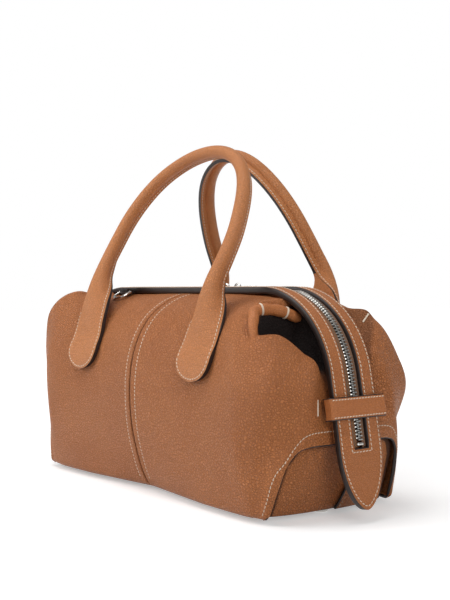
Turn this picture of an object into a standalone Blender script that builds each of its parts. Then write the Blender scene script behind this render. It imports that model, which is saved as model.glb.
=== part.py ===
"""Zip-top leather bowling bag: folded end gussets, a zip strap that runs over the top and
down both ends into tongues, two rolled handles with sewn patches. Metres, +Z up.
The origin is on the floor under the middle of the bag, +X to the right of the front,
-Y is the front."""

import math

import bmesh
import bpy
import numpy as np
from mathutils import Vector
from mathutils.bvhtree import BVHTree

MM = 0.001

# Running and touching clearances
GAP = 0.3 * MM
OVERRUN = 2.0 * MM

# Body: leather pieces lined with cloth
BELLY_LENGTH = 328.0 * MM
BELLY_DEPTH = 146.0 * MM
BODY_HEIGHT = 147.0 * MM
LEATHER = 2.6 * MM
SEAM_GAP = 0.6 * MM
FOOT_HEIGHT = 3.0 * MM
COLUMNS_PER_SPAN = 2
ROWS_PER_SPAN = 2

# Each section of a quarter panel runs from the bottom edge to just short of the strap:
# (x, y, z) as shares of half the belly length, half the belly depth and the body height.
# Both ends share the middle of the bag.
CENTRE_SHARES = (
    # centre seam
    ((0.000, 0.719, 0.000), (0.000, 0.835, 0.122), (0.000, 0.945, 0.327), (0.000, 0.970, 0.551),
     (0.000, 0.905, 0.728), (0.000, 0.750, 0.864), (0.000, 0.525, 0.950), (0.000, 0.295, 0.994)),
    # under a handle, which draws the panel in
    ((0.455, 0.840, 0.000), (0.460, 0.890, 0.122), (0.463, 0.932, 0.327), (0.465, 0.918, 0.551),
     (0.463, 0.842, 0.728), (0.461, 0.712, 0.864), (0.459, 0.535, 0.946), (0.458, 0.290, 0.990)),
)
# The right end sags: a rolled ridge, a deep pit behind it and a low crest beyond
SAGGED_SHARES = (
    # ahead of the pinched corner
    ((0.660, 0.855, 0.000), (0.677, 0.905, 0.122), (0.692, 0.960, 0.327), (0.701, 0.985, 0.551),
     (0.690, 0.910, 0.728), (0.672, 0.785, 0.845), (0.660, 0.610, 0.935), (0.655, 0.300, 0.978)),
    # crown of the rolled ridge
    ((0.738, 0.855, 0.000), (0.759, 0.912, 0.122), (0.780, 0.966, 0.327), (0.793, 0.995, 0.551),
     (0.771, 0.905, 0.720), (0.741, 0.735, 0.830), (0.726, 0.590, 0.940), (0.725, 0.320, 0.950)),
    # back of the ridge, falling into the pit
    ((0.793, 0.845, 0.000), (0.811, 0.895, 0.122), (0.842, 0.900, 0.327), (0.878, 0.945, 0.551),
     (0.848, 0.855, 0.705), (0.797, 0.735, 0.815), (0.759, 0.510, 0.715), (0.759, 0.300, 0.760)),
    # front corner
    ((0.835, 0.829, 0.000), (0.860, 0.830, 0.122), (0.881, 0.829, 0.327), (0.939, 0.850, 0.551),
     (0.908, 0.780, 0.700), (0.835, 0.562, 0.812), (0.796, 0.420, 0.700), (0.805, 0.270, 0.735)),
    # crest beside the strap
    ((0.869, 0.822, 0.000), (0.893, 0.808, 0.136), (0.915, 0.765, 0.340), (0.982, 0.712, 0.531),
     (0.955, 0.600, 0.650), (0.902, 0.425, 0.739), (0.868, 0.320, 0.670), (0.885, 0.210, 0.690)),
    # end face above the keeper
    ((0.884, 0.795, 0.014), (0.912, 0.785, 0.163), (0.965, 0.680, 0.354), (1.000, 0.560, 0.490),
     (0.994, 0.466, 0.578), (0.963, 0.340, 0.650), (0.945, 0.270, 0.630), (0.950, 0.210, 0.595)),
)
# The left end stands full: its ridge and crest are as high as the strap
FULL_SHARES = (
    # ahead of the pinched corner
    ((0.660, 0.855, 0.000), (0.677, 0.905, 0.122), (0.692, 0.960, 0.327), (0.701, 0.985, 0.551),
     (0.690, 0.920, 0.728), (0.672, 0.820, 0.870), (0.662, 0.640, 0.975), (0.655, 0.310, 0.975)),
    # crown of the rolled ridge
    ((0.738, 0.855, 0.000), (0.755, 0.905, 0.122), (0.775, 0.960, 0.327), (0.785, 0.975, 0.551),
     (0.775, 0.940, 0.728), (0.752, 0.850, 0.890), (0.724, 0.640, 1.010), (0.725, 0.345, 0.966)),
    # back of the ridge, falling into the pit
    ((0.793, 0.845, 0.000), (0.808, 0.890, 0.122), (0.835, 0.885, 0.327), (0.850, 0.905, 0.551),
     (0.850, 0.900, 0.715), (0.826, 0.830, 0.915), (0.790, 0.660, 0.995), (0.772, 0.330, 0.925)),
    # front corner
    ((0.835, 0.829, 0.000), (0.855, 0.820, 0.122), (0.875, 0.815, 0.327), (0.905, 0.815, 0.551),
     (0.920, 0.830, 0.710), (0.905, 0.800, 0.880), (0.855, 0.620, 0.945), (0.828, 0.310, 0.870)),
    # crest beside the strap
    ((0.869, 0.822, 0.000), (0.890, 0.805, 0.136), (0.912, 0.755, 0.340), (0.960, 0.670, 0.551),
     (0.975, 0.650, 0.700), (0.962, 0.600, 0.820), (0.920, 0.430, 0.830), (0.892, 0.230, 0.770)),
    # end face above the keeper
    ((0.884, 0.795, 0.014), (0.912, 0.785, 0.163), (0.963, 0.680, 0.354), (0.992, 0.545, 0.500),
     (0.992, 0.480, 0.610), (0.982, 0.410, 0.690), (0.955, 0.290, 0.650), (0.948, 0.210, 0.600)),
)
# How far each section of a quarter, by its side along x and y, has gone from sagged to full
FULLNESS_SHARES = {(1, -1): (0.0, 0.0, 0.0, 0.0, 0.0, 0.0), (1, 1): (0.0, 0.0, 0.4, 0.45, 0.35, 0.35),
                   (-1, -1): (1.0, 1.0, 1.0, 1.0, 1.0, 1.0), (-1, 1): (1.0, 1.0, 1.0, 1.0, 1.0, 1.0)}
# Points of the rear right quarter's end, by section and point, that stand on their own:
# its shoulder falls off evenly where the others pinch
REAR_RIGHT_SHARES = {(1, 5): (0.745, 0.760, 0.850), (1, 6): (0.726, 0.590, 0.925),
                     (2, 5): (0.800, 0.760, 0.865), (2, 6): (0.770, 0.665, 0.915),
                     (3, 3): (0.945, 0.855, 0.551)}
# Where each section's inner edge meets the strap, as a share of half the zip slot's length
STATION_SHARES = (0.0, 0.315, 0.440, 0.497, 0.528, 0.600, 0.705, 0.835)

# Bell-shaped cut-out at the foot of each end: (y, z) as shares of its half width and height
BELL_HALF_WIDTH = 56.0 * MM
BELL_HEIGHT = 47.5 * MM
BELL_SHARES = ((1.000, 0.000), (0.975, 0.400), (0.920, 0.730), (0.800, 0.930),
               (0.650, 0.990), (0.500, 1.000), (0.360, 1.000), (0.270, 1.000))
BELL_STATION_SHARE = 0.985

# End face of the body, which the leaves under the cut-out follow
END_FOOT_REACH = 148.0 * MM
END_SWELL = 14.5 * MM
END_SWELL_POWER = 0.8
END_BOW = 4.5 * MM
LEAF_THICKNESS = 2.0 * MM
LEAF_TUCK = 2.0 * MM
LEAF_CORNER_DRAW = 4.0 * MM
LEAF_CORNER_POWER = 4
LEAF_INSET = 3.6 * MM
LAP_FOOT_Y = 2.0 * MM
LAP_TOP_Y = 17.0 * MM
LAP_WIDTH = 12.0 * MM
LEAF_ROWS = 6
LEAF_COLUMNS = 9

# Bottom
BASE_THICKNESS = 2.4 * MM
BOARD_THICKNESS = 2.5 * MM
BOARD_MARGIN = 4.0 * MM
BASE_SIDE_COUNT = 5
BASE_END_STEPS = 7
STUD_RADIUS = 5.5 * MM
STUD_FLAT_RADIUS = 3.0 * MM
STUD_STEPS = 12
# Radius and depth of a stud's dome between its flat and its full radius
STUD_DOME_SHARES = ((0.86, 0.72), (1.0, 0.35))
# Places of the studs, in from the foot of the end face and from the belly
STUD_END_MARGIN = 26.0 * MM
STUD_SIDE_MARGIN = 33.0 * MM
END_STUD_MARGIN = 15.0 * MM

# Lining sack: (half length, half depth, z) as shares of the belly and the body height
LINING_THICKNESS = 1.0 * MM
LINING_STEPS = 24
LINING_ROUND_POWER = 0.6
LINING_SHARES = ((0.780, 0.560, 0.055), (0.815, 0.680, 0.180), (0.820, 0.760, 0.400),
                 (0.780, 0.760, 0.600), (0.680, 0.660, 0.740), (0.640, 0.400, 0.870),
                 (0.610, 0.180, 0.930))

# Zip strap with its two tongues
STRAP_HALF_WIDTH = 20.0 * MM
STRAP_THICKNESS = 4.8 * MM
STRAP_FLAT_HALF = 93.4 * MM
STRAP_RADIUS = 71.3 * MM
STRAP_TURN = math.radians(78.5)
TONGUE_LENGTH = 90.5 * MM
TONGUE_TURN = math.radians(4.0)
TONGUE_TAPER = 56.0 * MM
# Cross rows of the tapered tongue, as shares of the taper from its start to the tip
TIP_ROW_SHARES = (0.40, 0.62, 0.78, 0.90, 0.97, 0.995)
TIP_ROUND_POWER = 3
TIP_WIDTH_POWER = 0.9
SLOT_HALF_WIDTH = 6.4 * MM
SLOT_IN_TONGUE = 50.0 * MM
PANEL_EDGE_Y = 11.0 * MM
TAPE_EDGE_Y = 8.2 * MM
ARC_STEPS = 9
TONGUE_STEPS = 10

# Zip
TAPE_THICKNESS = 1.6 * MM
TOOTH_REACH = 2.9 * MM
TOOTH_CROSSING = 0.5 * MM
TOOTH_PITCH = 5.0 * MM
TOOTH_GAP = 0.35 * MM
STOP_LENGTH = 3.0 * MM

# Zip sliders and their pulls
SLIDER_LENGTH = 13.0 * MM
SLIDER_WIDTH = 8.8 * MM
SLIDER_NOSE_SHARE = 0.6
SLIDER_SHOULDER_SHARE = 0.4
SLIDER_PLATE = 2.3 * MM
SLIDER_X = 34.5 * MM
SLIDER_SPACING = 14.2 * MM
BAIL_LENGTH = 9.4 * MM
BAIL_RISE = 5.4 * MM
BAIL_WIRE = 1.6 * MM
BAIL_ROUND_POWER = 0.7
PULL_LENGTH = 28.0 * MM
PULL_WIDTH = 7.0 * MM
PULL_THICKNESS = 1.4 * MM
PULL_EYE = 5.8 * MM
PULL_BAR = 1.6 * MM
PULL_SEAT = 2.1 * MM

# Keeper loops round the tongues
KEEPER_HALF_WIDTH = 25.5 * MM
KEEPER_HEIGHT = 15.0 * MM
KEEPER_Z = 72.0 * MM
KEEPER_THICKNESS = 2.2 * MM
KEEPER_CORNER = 3.0 * MM

# Handles and their patches
HANDLE_SPREAD = 76.0 * MM
HANDLE_RADIUS = 5.7 * MM
FIN_HEIGHT = 3.6 * MM
FIN_THICKNESS = 3.2 * MM
FIN_START = 22.0 * MM
FIN_GROWTH = 14.0 * MM
# The hinge line lies under the top of the body and out from the panel's face
HINGE_DROP = 30.0 * MM
HINGE_OUT = 4.645 * MM
NECK_WIDTH = 30.0 * MM
NECK_THICKNESS = 5.0 * MM
NECK_LENGTH = 20.0 * MM
NECK_END_SHARE = 0.55
NECK_END_LENGTH = 2.4 * MM
NECK_CLEARANCE = 0.5 * MM
FRONT_ARCH = 158.0 * MM
FRONT_BULGE = 2.0 * MM
FRONT_TAPER_SHARE = 0.0
FRONT_LEAN = (math.radians(20.4), math.radians(28.1))
REAR_ARCH = 151.0 * MM
REAR_BULGE = 0.0 * MM
REAR_TAPER_SHARE = 0.35
REAR_LEAN = (math.radians(-12.0), math.radians(24.6))
LEAN_START = 24.0 * MM
LEAN_END = 62.0 * MM
ARCH_POWER = 4.2
ARCH_STEPS = 36
PATCH_WIDTH = 40.0 * MM
PATCH_FOOT_DROP = 31.0 * MM
PATCH_WIDEST_DROP = 15.0 * MM
PATCH_TOP_WIDTH = 33.0 * MM
PATCH_THICKNESS = 4.4 * MM
PATCH_ROWS = 8
PATCH_FOOT_SHARE = 0.2
PATCH_ACROSS_SHARES = (-1.0, -0.8, -0.4, 0.0, 0.4, 0.8, 1.0)
PATCH_CROWN_SHARES = (0.55, 0.9, 1.0, 1.0, 1.0, 0.9, 0.55)

# Side rings on their leather chapes
RING_X = 76.0 * MM
RING_WIRE = 2.2 * MM
RING_WIDTH = 15.0 * MM
RING_DROP = 11.0 * MM
RING_STRAIGHT_SHARE = 0.35
RING_ANGLE = math.radians(28.0)
CHAPE_WIDTH = 10.0 * MM
CHAPE_WALL = 1.5 * MM
CHAPE_OUT = 6.2 * MM
CHAPE_TAIL_SHARES = (0.1, 0.5)
BORE_CLEARANCE = 0.3 * MM


def clear_scene():
    for obj in list(bpy.data.objects):
        bpy.data.objects.remove(obj, do_unlink=True)


clear_scene()
PARTS = bpy.data.collections.new("leather_bag")
CUTTERS = bpy.data.collections.new("cutters")
for collection in (PARTS, CUTTERS):
    bpy.context.scene.collection.children.link(collection)
CUTTERS.hide_render = True
STAND = bpy.data.objects.new("stand_height", None)
STAND.location = (0, 0, FOOT_HEIGHT)
PARTS.objects.link(STAND)


def material(name, color, roughness, metallic=0.0):
    found = bpy.data.materials.get(name)
    if found:
        return found
    made = bpy.data.materials.new(name)
    made.use_nodes = True
    shader = made.node_tree.nodes["Principled BSDF"]
    shader.inputs["Base Color"].default_value = (*color, 1)
    shader.inputs["Roughness"].default_value = roughness
    shader.inputs["Metallic"].default_value = metallic
    return made


def leather():
    return material("tan_leather", (0.42, 0.17, 0.065), 0.5)


def metal():
    return material("silver_metal", (0.72, 0.71, 0.68), 0.25, 1.0)


def tape_cloth():
    return material("zip_tape", (0.33, 0.16, 0.07), 0.85)


def lining_cloth():
    return material("lining", (0.30, 0.22, 0.15), 0.9)


def board():
    return material("stiff_board", (0.25, 0.20, 0.15), 0.8)


# Mesh helpers


def place(name, verts, faces, mat, origin=(0, 0, 0), smooth=True):
    """An object of these points, given in the bag's frame, with its origin at the given point."""
    mesh = bpy.data.meshes.new(name)
    local = np.asarray(verts, float) - np.asarray(origin, float)
    mesh.from_pydata(local.tolist(), [], [list(map(int, face)) for face in faces])
    if smooth:
        mesh.shade_smooth()
        mesh.set_sharp_from_angle(angle=math.radians(40))
    mesh.materials.append(mat)
    obj = bpy.data.objects.new(name, mesh)
    obj.location = origin
    obj.parent = STAND
    PARTS.objects.link(obj)
    return obj


def grid_faces(rows, columns, flip=False, skip=None):
    """Quads of a rows by columns grid of points; skip(row, column) leaves a quad out."""
    faces = []
    for row in range(rows - 1):
        for column in range(columns - 1):
            if skip and skip(row, column):
                continue
            first = row * columns + column
            quad = [first, first + 1, first + columns + 1, first + columns]
            faces.append(quad[::-1] if flip else quad)
    return faces


def thicken(obj, thickness):
    """Gives an open surface its wall, on the side away from its normals."""
    wall = obj.modifiers.new("wall", "SOLIDIFY")
    wall.thickness = thickness
    wall.offset = -1.0
    wall.use_even_offset = True
    wall.use_rim = True
    return obj


def close_rings(rings):
    """Points and faces of a tube through closed rings of points, with both ends capped."""
    rings = np.asarray(rings, float)
    count, around = rings.shape[:2]
    faces = []
    for ring in range(count - 1):
        for step in range(around):
            following = (step + 1) % around
            faces.append([ring * around + step, ring * around + following,
                          (ring + 1) * around + following, (ring + 1) * around + step])
    faces.append(list(range(around))[::-1])
    faces.append([(count - 1) * around + step for step in range(around)])
    return rings.reshape(-1, 3), faces


def outward(obj):
    """Turns the faces of a closed mesh outwards."""
    edit = bmesh.new()
    edit.from_mesh(obj.data)
    bmesh.ops.recalc_face_normals(edit, faces=edit.faces)
    edit.to_mesh(obj.data)
    edit.free()
    return obj


def extrude_outline(outline, thickness, along):
    """Points and faces of a prism: a closed outline moved by thickness in one direction."""
    outline = np.asarray(outline, float)
    far = outline + np.asarray(along, float) * thickness
    return close_rings([outline, far])


def join_solid(obj, other):
    """Unites another solid into obj with an exact Boolean and keeps the other as a helper."""
    union = obj.modifiers.new("join_" + other.name, "BOOLEAN")
    union.operation = "UNION"
    union.solver = "EXACT"
    union.object = other
    retire(other)


def cut_solid(obj, other):
    """Cuts another solid out of obj with an exact Boolean and keeps the other as a helper."""
    cut = obj.modifiers.new("cut_" + other.name, "BOOLEAN")
    cut.operation = "DIFFERENCE"
    cut.solver = "EXACT"
    cut.object = other
    retire(other)


def retire(other):
    PARTS.objects.unlink(other)
    CUTTERS.objects.link(other)
    other.hide_render = True
    other.display_type = "WIRE"


def spline_rows(points, steps):
    """A Catmull-Rom curve through the first axis of points, with steps per span."""
    points = np.asarray(points, float)
    ends = np.concatenate([[2 * points[0] - points[1]], points, [2 * points[-1] - points[-2]]])
    t = np.arange(steps)[:, None] / steps
    rows = []
    for span in range(len(points) - 1):
        before, start, end, after = (ends[span + k].reshape(1, -1) for k in range(4))
        rows.append(0.5 * (2 * start + (end - before) * t
                           + (2 * before - 5 * start + 4 * end - after) * t ** 2
                           + (3 * start - before - 3 * end + after) * t ** 3))
    rows.append(points[-1].reshape(1, -1))
    return np.concatenate(rows).reshape((-1,) + points.shape[1:])


# Path of the strap, from the middle of the top to the right tongue's tip


def heading(distance):
    """How far the strap has turned down from level at a distance along it, in radians."""
    arc = STRAP_RADIUS * STRAP_TURN
    on_arc = np.clip((distance - STRAP_FLAT_HALF) / arc, 0, 1)
    on_tongue = np.clip((distance - STRAP_FLAT_HALF - arc) / TONGUE_LENGTH, 0, 1)
    return STRAP_TURN * on_arc + TONGUE_TURN * on_tongue


HALF_STRAP = STRAP_FLAT_HALF + STRAP_RADIUS * STRAP_TURN + TONGUE_LENGTH
HALF_SLOT = STRAP_FLAT_HALF + STRAP_RADIUS * STRAP_TURN + SLOT_IN_TONGUE
STRAP_TOP = BODY_HEIGHT + STRAP_THICKNESS + GAP
_dense = np.linspace(0, HALF_STRAP, 1200)
_turn = heading((_dense[1:] + _dense[:-1]) / 2)
_step = np.diff(_dense)
_path_x = np.concatenate([[0], np.cumsum(np.cos(_turn) * _step)])
_path_z = STRAP_TOP - np.concatenate([[0], np.cumsum(np.sin(_turn) * _step)])


def strap_point(distance, y, depth):
    """A point at a signed distance along the strap, across at y, and a depth below its face."""
    distance = np.asarray(distance, float)
    side = np.where(distance < 0, -1.0, 1.0)
    along = np.abs(distance)
    turn = heading(along)
    x = np.interp(along, _dense, _path_x) - np.sin(turn) * depth
    z = np.interp(along, _dense, _path_z) - np.cos(turn) * depth
    return np.stack([side * x, y + 0 * x, z], axis=-1)


def strap_stations(limit):
    """Distances of the strap's cross rows on one side, closer where it bends."""
    arc_end = STRAP_FLAT_HALF + STRAP_RADIUS * STRAP_TURN
    rows = np.concatenate([np.linspace(0, STRAP_FLAT_HALF, 3)[:-1],
                           np.linspace(STRAP_FLAT_HALF, arc_end, ARC_STEPS + 1)[:-1],
                           np.linspace(arc_end, limit, TONGUE_STEPS + 1)])
    return rows


# Body panels


def end_face_x(y, z):
    """How far out the end face lies at a height and a distance from the middle."""
    rise = np.clip(z / BELL_HEIGHT, 0, None) ** END_SWELL_POWER
    return END_FOOT_REACH + END_SWELL * rise - END_BOW * (y / BELL_HALF_WIDTH) ** 2


def quarter_sections(corner):
    """Control points of a quarter panel, with x and y positive: sections by points."""
    scale = np.array([BELLY_LENGTH / 2, BELLY_DEPTH / 2, BODY_HEIGHT])
    sagged = np.array(SAGGED_SHARES)
    fullness = np.array(FULLNESS_SHARES[corner])[:, None, None]
    end = sagged + (np.array(FULL_SHARES) - sagged) * fullness
    if corner == (1, 1):
        for (section, point), shares in REAR_RIGHT_SHARES.items():
            end[section, point] = shares
    sections = []
    for shares, station_share in zip(np.concatenate([CENTRE_SHARES, end]), STATION_SHARES):
        edge = strap_point(station_share * HALF_SLOT, PANEL_EDGE_Y, STRAP_THICKNESS + 2 * GAP)
        sections.append(np.vstack([shares * scale, edge]))
    bell = np.array(BELL_SHARES) * [BELL_HALF_WIDTH, BELL_HEIGHT]
    rim = np.column_stack([end_face_x(bell[:, 0], bell[:, 1]), bell])
    edge = strap_point(BELL_STATION_SHARE * HALF_SLOT, PANEL_EDGE_Y, STRAP_THICKNESS + 2 * GAP)
    sections.append(np.vstack([rim, edge]))
    return np.array(sections)


def quarter_surface(corner, column_steps, row_steps):
    along_rows = np.swapaxes(quarter_sections(corner), 0, 1)
    fine = spline_rows(along_rows, row_steps)
    return spline_rows(np.swapaxes(fine, 0, 1), column_steps)


def body_panel(name, side_x, side_y):
    """One quarter of the body, mirrored to its side, with half the seam gap at the centre."""
    surface = quarter_surface((side_x, side_y), COLUMNS_PER_SPAN, ROWS_PER_SPAN)
    surface[..., 0] += SEAM_GAP / 2
    columns, rows = surface.shape[:2]
    points = surface.reshape(-1, 3) * [side_x, side_y, 1]
    obj = place(name, points, grid_faces(columns, rows, flip=side_x * side_y < 0), leather())
    return thicken(obj, LEATHER)


def make_body_panels():
    for side_y, depth_name in ((-1, "front"), (1, "rear")):
        for side_x, name in ((-1, "left"), (1, "right")):
            body_panel(f"{depth_name}_panel_{name}", side_x, side_y)


def panel_surface_tree(corner):
    """A search tree of one quarter's outer face, with x positive and the face at negative y."""
    surface = quarter_surface(corner, COLUMNS_PER_SPAN, ROWS_PER_SPAN)
    columns, rows = surface.shape[:2]
    points = surface.reshape(-1, 3) * [1, -1, 1]
    return BVHTree.FromPolygons(points.tolist(), grid_faces(columns, rows))


PANEL_TREES = {corner: panel_surface_tree(corner) for corner in FULLNESS_SHARES}


def panel_face_y(corner, x, z):
    """Distance of a quarter's outer face from the middle plane at a place on its side."""
    hit = PANEL_TREES[corner].ray_cast(Vector((x, -BELLY_DEPTH, z)), Vector((0, 1, 0)))[0]
    return -hit.y


HINGE_Z = BODY_HEIGHT - HINGE_DROP
HINGE_Y = panel_face_y((-1, -1), HANDLE_SPREAD, HINGE_Z) + HINGE_OUT


# Lower end leaves, seen through the bell-shaped cut-outs


def leaf_face_x(y, z, layer):
    """Outer face of a leaf, behind the panel's wall and drawn in towards the corners."""
    draw = LEAF_CORNER_DRAW * np.abs(y / BELL_HALF_WIDTH) ** LEAF_CORNER_POWER
    return end_face_x(y, z) - LEATHER - 2 * GAP - layer * (LEAF_THICKNESS + 3 * GAP) - draw


def end_leaf(name, side_x, start, end, layer):
    """A leaf that follows the end face inside it; start and end give its y limits."""
    heights = np.linspace(0, BELL_HEIGHT + LEAF_TUCK, LEAF_ROWS)
    shares = np.linspace(0, 1, LEAF_COLUMNS)
    points = []
    for z in heights:
        y = start(z) + (end(z) - start(z)) * shares
        points.append(np.column_stack([leaf_face_x(y, z, layer), y, np.full_like(y, z)]))
    points = np.array(points).reshape(-1, 3) * [side_x, side_x, 1]
    obj = place(name, points, grid_faces(len(heights), len(shares)), leather())
    return thicken(obj, LEAF_THICKNESS)


def leaf_edge(z):
    """Outer limit of a leaf: the bell's edge plus the tuck under it, up to the body's corner."""
    bell = np.array(BELL_SHARES) * [BELL_HALF_WIDTH, BELL_HEIGHT]
    return min(np.interp(z, bell[:, 1], bell[:, 0]) + LEAF_TUCK, BELL_HALF_WIDTH - LEAF_INSET)


def lap_edge(z):
    return LAP_FOOT_Y + (LAP_TOP_Y - LAP_FOOT_Y) * z / BELL_HEIGHT


def make_end_leaves():
    for side_x, name in ((-1, "left"), (1, "right")):
        end_leaf(f"end_leaf_{name}_outer", side_x, lap_edge, leaf_edge, 0)
        end_leaf(f"end_leaf_{name}_inner", side_x, lambda z: -leaf_edge(z),
                 lambda z: lap_edge(z) + LAP_WIDTH, 1)


# Bottom and lining


def foot_outline(margin):
    """The body's bottom edge inside its walls and leaves, less a margin, from above."""
    edge = quarter_surface((1, 1), 1, 1)[:BASE_SIDE_COUNT, 0, :2]
    side = edge - [0, LEATHER + 2 * GAP + margin]
    end_y = side[-1, 1] * np.linspace(1, 0, BASE_END_STEPS)
    end_x = leaf_face_x(end_y, 0, 1) - LEAF_THICKNESS - 2 * GAP - margin
    quarter = np.vstack([side[:-1], np.column_stack([end_x, end_y])])
    right_rear = quarter[-2::-1]
    left_rear = quarter[1:] * [-1, 1]
    left_front = quarter[-2:0:-1] * [-1, -1]
    return np.vstack([quarter * [1, -1], right_rear, left_rear, left_front])


def flat_plate(name, margin, low, thickness, mat):
    outline = foot_outline(margin)
    outline = np.column_stack([outline, np.full(len(outline), low)])
    points, faces = extrude_outline(outline, thickness, (0, 0, 1))
    return outward(place(name, points, faces, mat, smooth=False))


def make_bottom():
    flat_plate("base_panel", 0, 0, BASE_THICKNESS, leather())
    flat_plate("base_board", BOARD_MARGIN, BASE_THICKNESS + GAP, BOARD_THICKNESS, board())


def make_lining():
    """An open sack: rings of a rounded rectangle, largest at the belly."""
    turn = np.linspace(0, 2 * math.pi, LINING_STEPS, endpoint=False)
    across = np.sign(np.cos(turn)) * np.abs(np.cos(turn)) ** LINING_ROUND_POWER
    deep = np.sign(np.sin(turn)) * np.abs(np.sin(turn)) ** LINING_ROUND_POWER
    floor = BASE_THICKNESS + BOARD_THICKNESS + 2 * GAP
    rings = []
    for half_length, half_depth, height in LINING_SHARES:
        z = floor + (height - LINING_SHARES[0][2]) * BODY_HEIGHT
        rings.append(np.column_stack([across * half_length * BELLY_LENGTH / 2,
                                      deep * half_depth * BELLY_DEPTH / 2,
                                      np.full_like(turn, z)]))
    points, faces = close_rings(rings)
    obj = place("lining", points, faces[:-1], lining_cloth())
    thicken(obj, LINING_THICKNESS)


# Zip strap, tapes and teeth


def tongue_share(distance):
    """Width of the strap as a share of its full width: 1, then a rounded point."""
    left = np.clip((HALF_STRAP - np.abs(distance)) / TONGUE_TAPER, 0, 1)
    return (1 - (1 - left) ** TIP_ROUND_POWER) ** TIP_WIDTH_POWER


def band(name, distances, offsets, depth, thickness, mat, width_share=None, skip=None):
    """A band along the strap's path: rows at distances, columns at offsets across."""
    share = width_share(distances) if width_share else np.ones_like(distances)
    points = [strap_point(np.full_like(offsets, distance), offsets * width, depth)
              for distance, width in zip(distances, share)]
    faces = grid_faces(len(distances), len(offsets), flip=True, skip=skip)
    obj = place(name, np.array(points).reshape(-1, 3), faces, mat)
    return thicken(obj, thickness)


def make_strap():
    taper_rows = HALF_STRAP - TONGUE_TAPER * (1 - np.array(TIP_ROW_SHARES))
    one_side = np.concatenate([strap_stations(HALF_SLOT), taper_rows])
    distances = np.concatenate([-one_side[:0:-1], one_side])
    offsets = np.array([-STRAP_HALF_WIDTH, -SLOT_HALF_WIDTH, SLOT_HALF_WIDTH, STRAP_HALF_WIDTH])

    def in_slot(row, column):
        middle = (distances[row] + distances[row + 1]) / 2
        return column == 1 and abs(middle) < HALF_SLOT

    band("zip_strap", distances, offsets, 0, STRAP_THICKNESS, leather(), tongue_share, in_slot)


def make_stringer(name, side):
    """Half of the zip: a tape with its row of teeth, which reach past the middle."""
    depth = STRAP_THICKNESS + GAP
    usable = HALF_SLOT - STOP_LENGTH - 2 * TOOTH_GAP
    length = TOOTH_PITCH / 2 - TOOTH_GAP
    count = int(2 * usable / TOOTH_PITCH)
    shift = 0.5 if side > 0 else 0.0
    starts = (np.arange(count) - count / 2 + shift) * TOOTH_PITCH
    starts = starts[starts + length < usable]
    edge = np.sort(np.concatenate([starts, starts + length]))
    coarse = strap_stations(HALF_SLOT - GAP)
    coarse = np.concatenate([-coarse[:0:-1], coarse])
    edge = np.concatenate([coarse[:1], edge, coarse[-1:]])
    root_y = side * (TOOTH_REACH + GAP)
    lines = ((coarse, side * TAPE_EDGE_Y), (edge, root_y),
             (edge[1:-1], -side * TOOTH_CROSSING))
    points, starts_at, faces = [], [], []
    total = 0
    for level in (depth, depth + TAPE_THICKNESS):
        for stations, y in lines:
            starts_at.append(total)
            points.append(strap_point(stations, np.full_like(stations, y), level))
            total += len(stations)
    for level in range(2):
        outer, root, tip = starts_at[level * 3:level * 3 + 3]
        for row in range(len(coarse) - 1):
            inside = [root + k for k in range(len(edge)) if coarse[row] <= edge[k] <= coarse[row + 1]]
            if row and edge[inside[0] - root] > coarse[row]:
                inside = [inside[0] - 1] + inside
            faces.append([outer + row + 1, outer + row] + inside)
        for tooth in range(1, len(edge) - 1, 2):
            faces.append([root + tooth, root + tooth + 1, tip + tooth, tip + tooth - 1])
    upper, lower = starts_at[:3], starts_at[3:]
    for row in range(len(coarse) - 1):
        faces.append([upper[0] + row, upper[0] + row + 1, lower[0] + row + 1, lower[0] + row])
    for k in range(0, len(edge) - 1, 2):
        faces.append([upper[1] + k, upper[1] + k + 1, lower[1] + k + 1, lower[1] + k])
    for tooth in range(1, len(edge) - 1, 2):
        faces.append([upper[2] + tooth - 1, upper[2] + tooth, lower[2] + tooth,
                      lower[2] + tooth - 1])
        for k in (tooth, tooth + 1):
            faces.append([upper[1] + k, upper[2] + k - 1, lower[2] + k - 1, lower[1] + k])
    for outer_k, root_k in ((0, 0), (len(coarse) - 1, len(edge) - 1)):
        faces.append([upper[0] + outer_k, upper[1] + root_k, lower[1] + root_k,
                      lower[0] + outer_k])
    outward(place(name, np.concatenate(points), faces, tape_cloth(), smooth=False))


def make_stop(name, side):
    """The metal stop that ends the chain."""
    depth = STRAP_THICKNESS + GAP
    ends = sorted((side * (HALF_SLOT - GAP), side * (HALF_SLOT - GAP - STOP_LENGTH)))
    corners = []
    for level in (depth + TAPE_THICKNESS, depth):
        for distance, y in ((ends[0], -TOOTH_REACH), (ends[1], -TOOTH_REACH),
                            (ends[1], TOOTH_REACH), (ends[0], TOOTH_REACH)):
            corners.append(strap_point(distance, y, level))
    points, faces = close_rings([corners[:4], corners[4:]])
    outward(place(name, points, faces, metal(), smooth=False))


# Sliders


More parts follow.
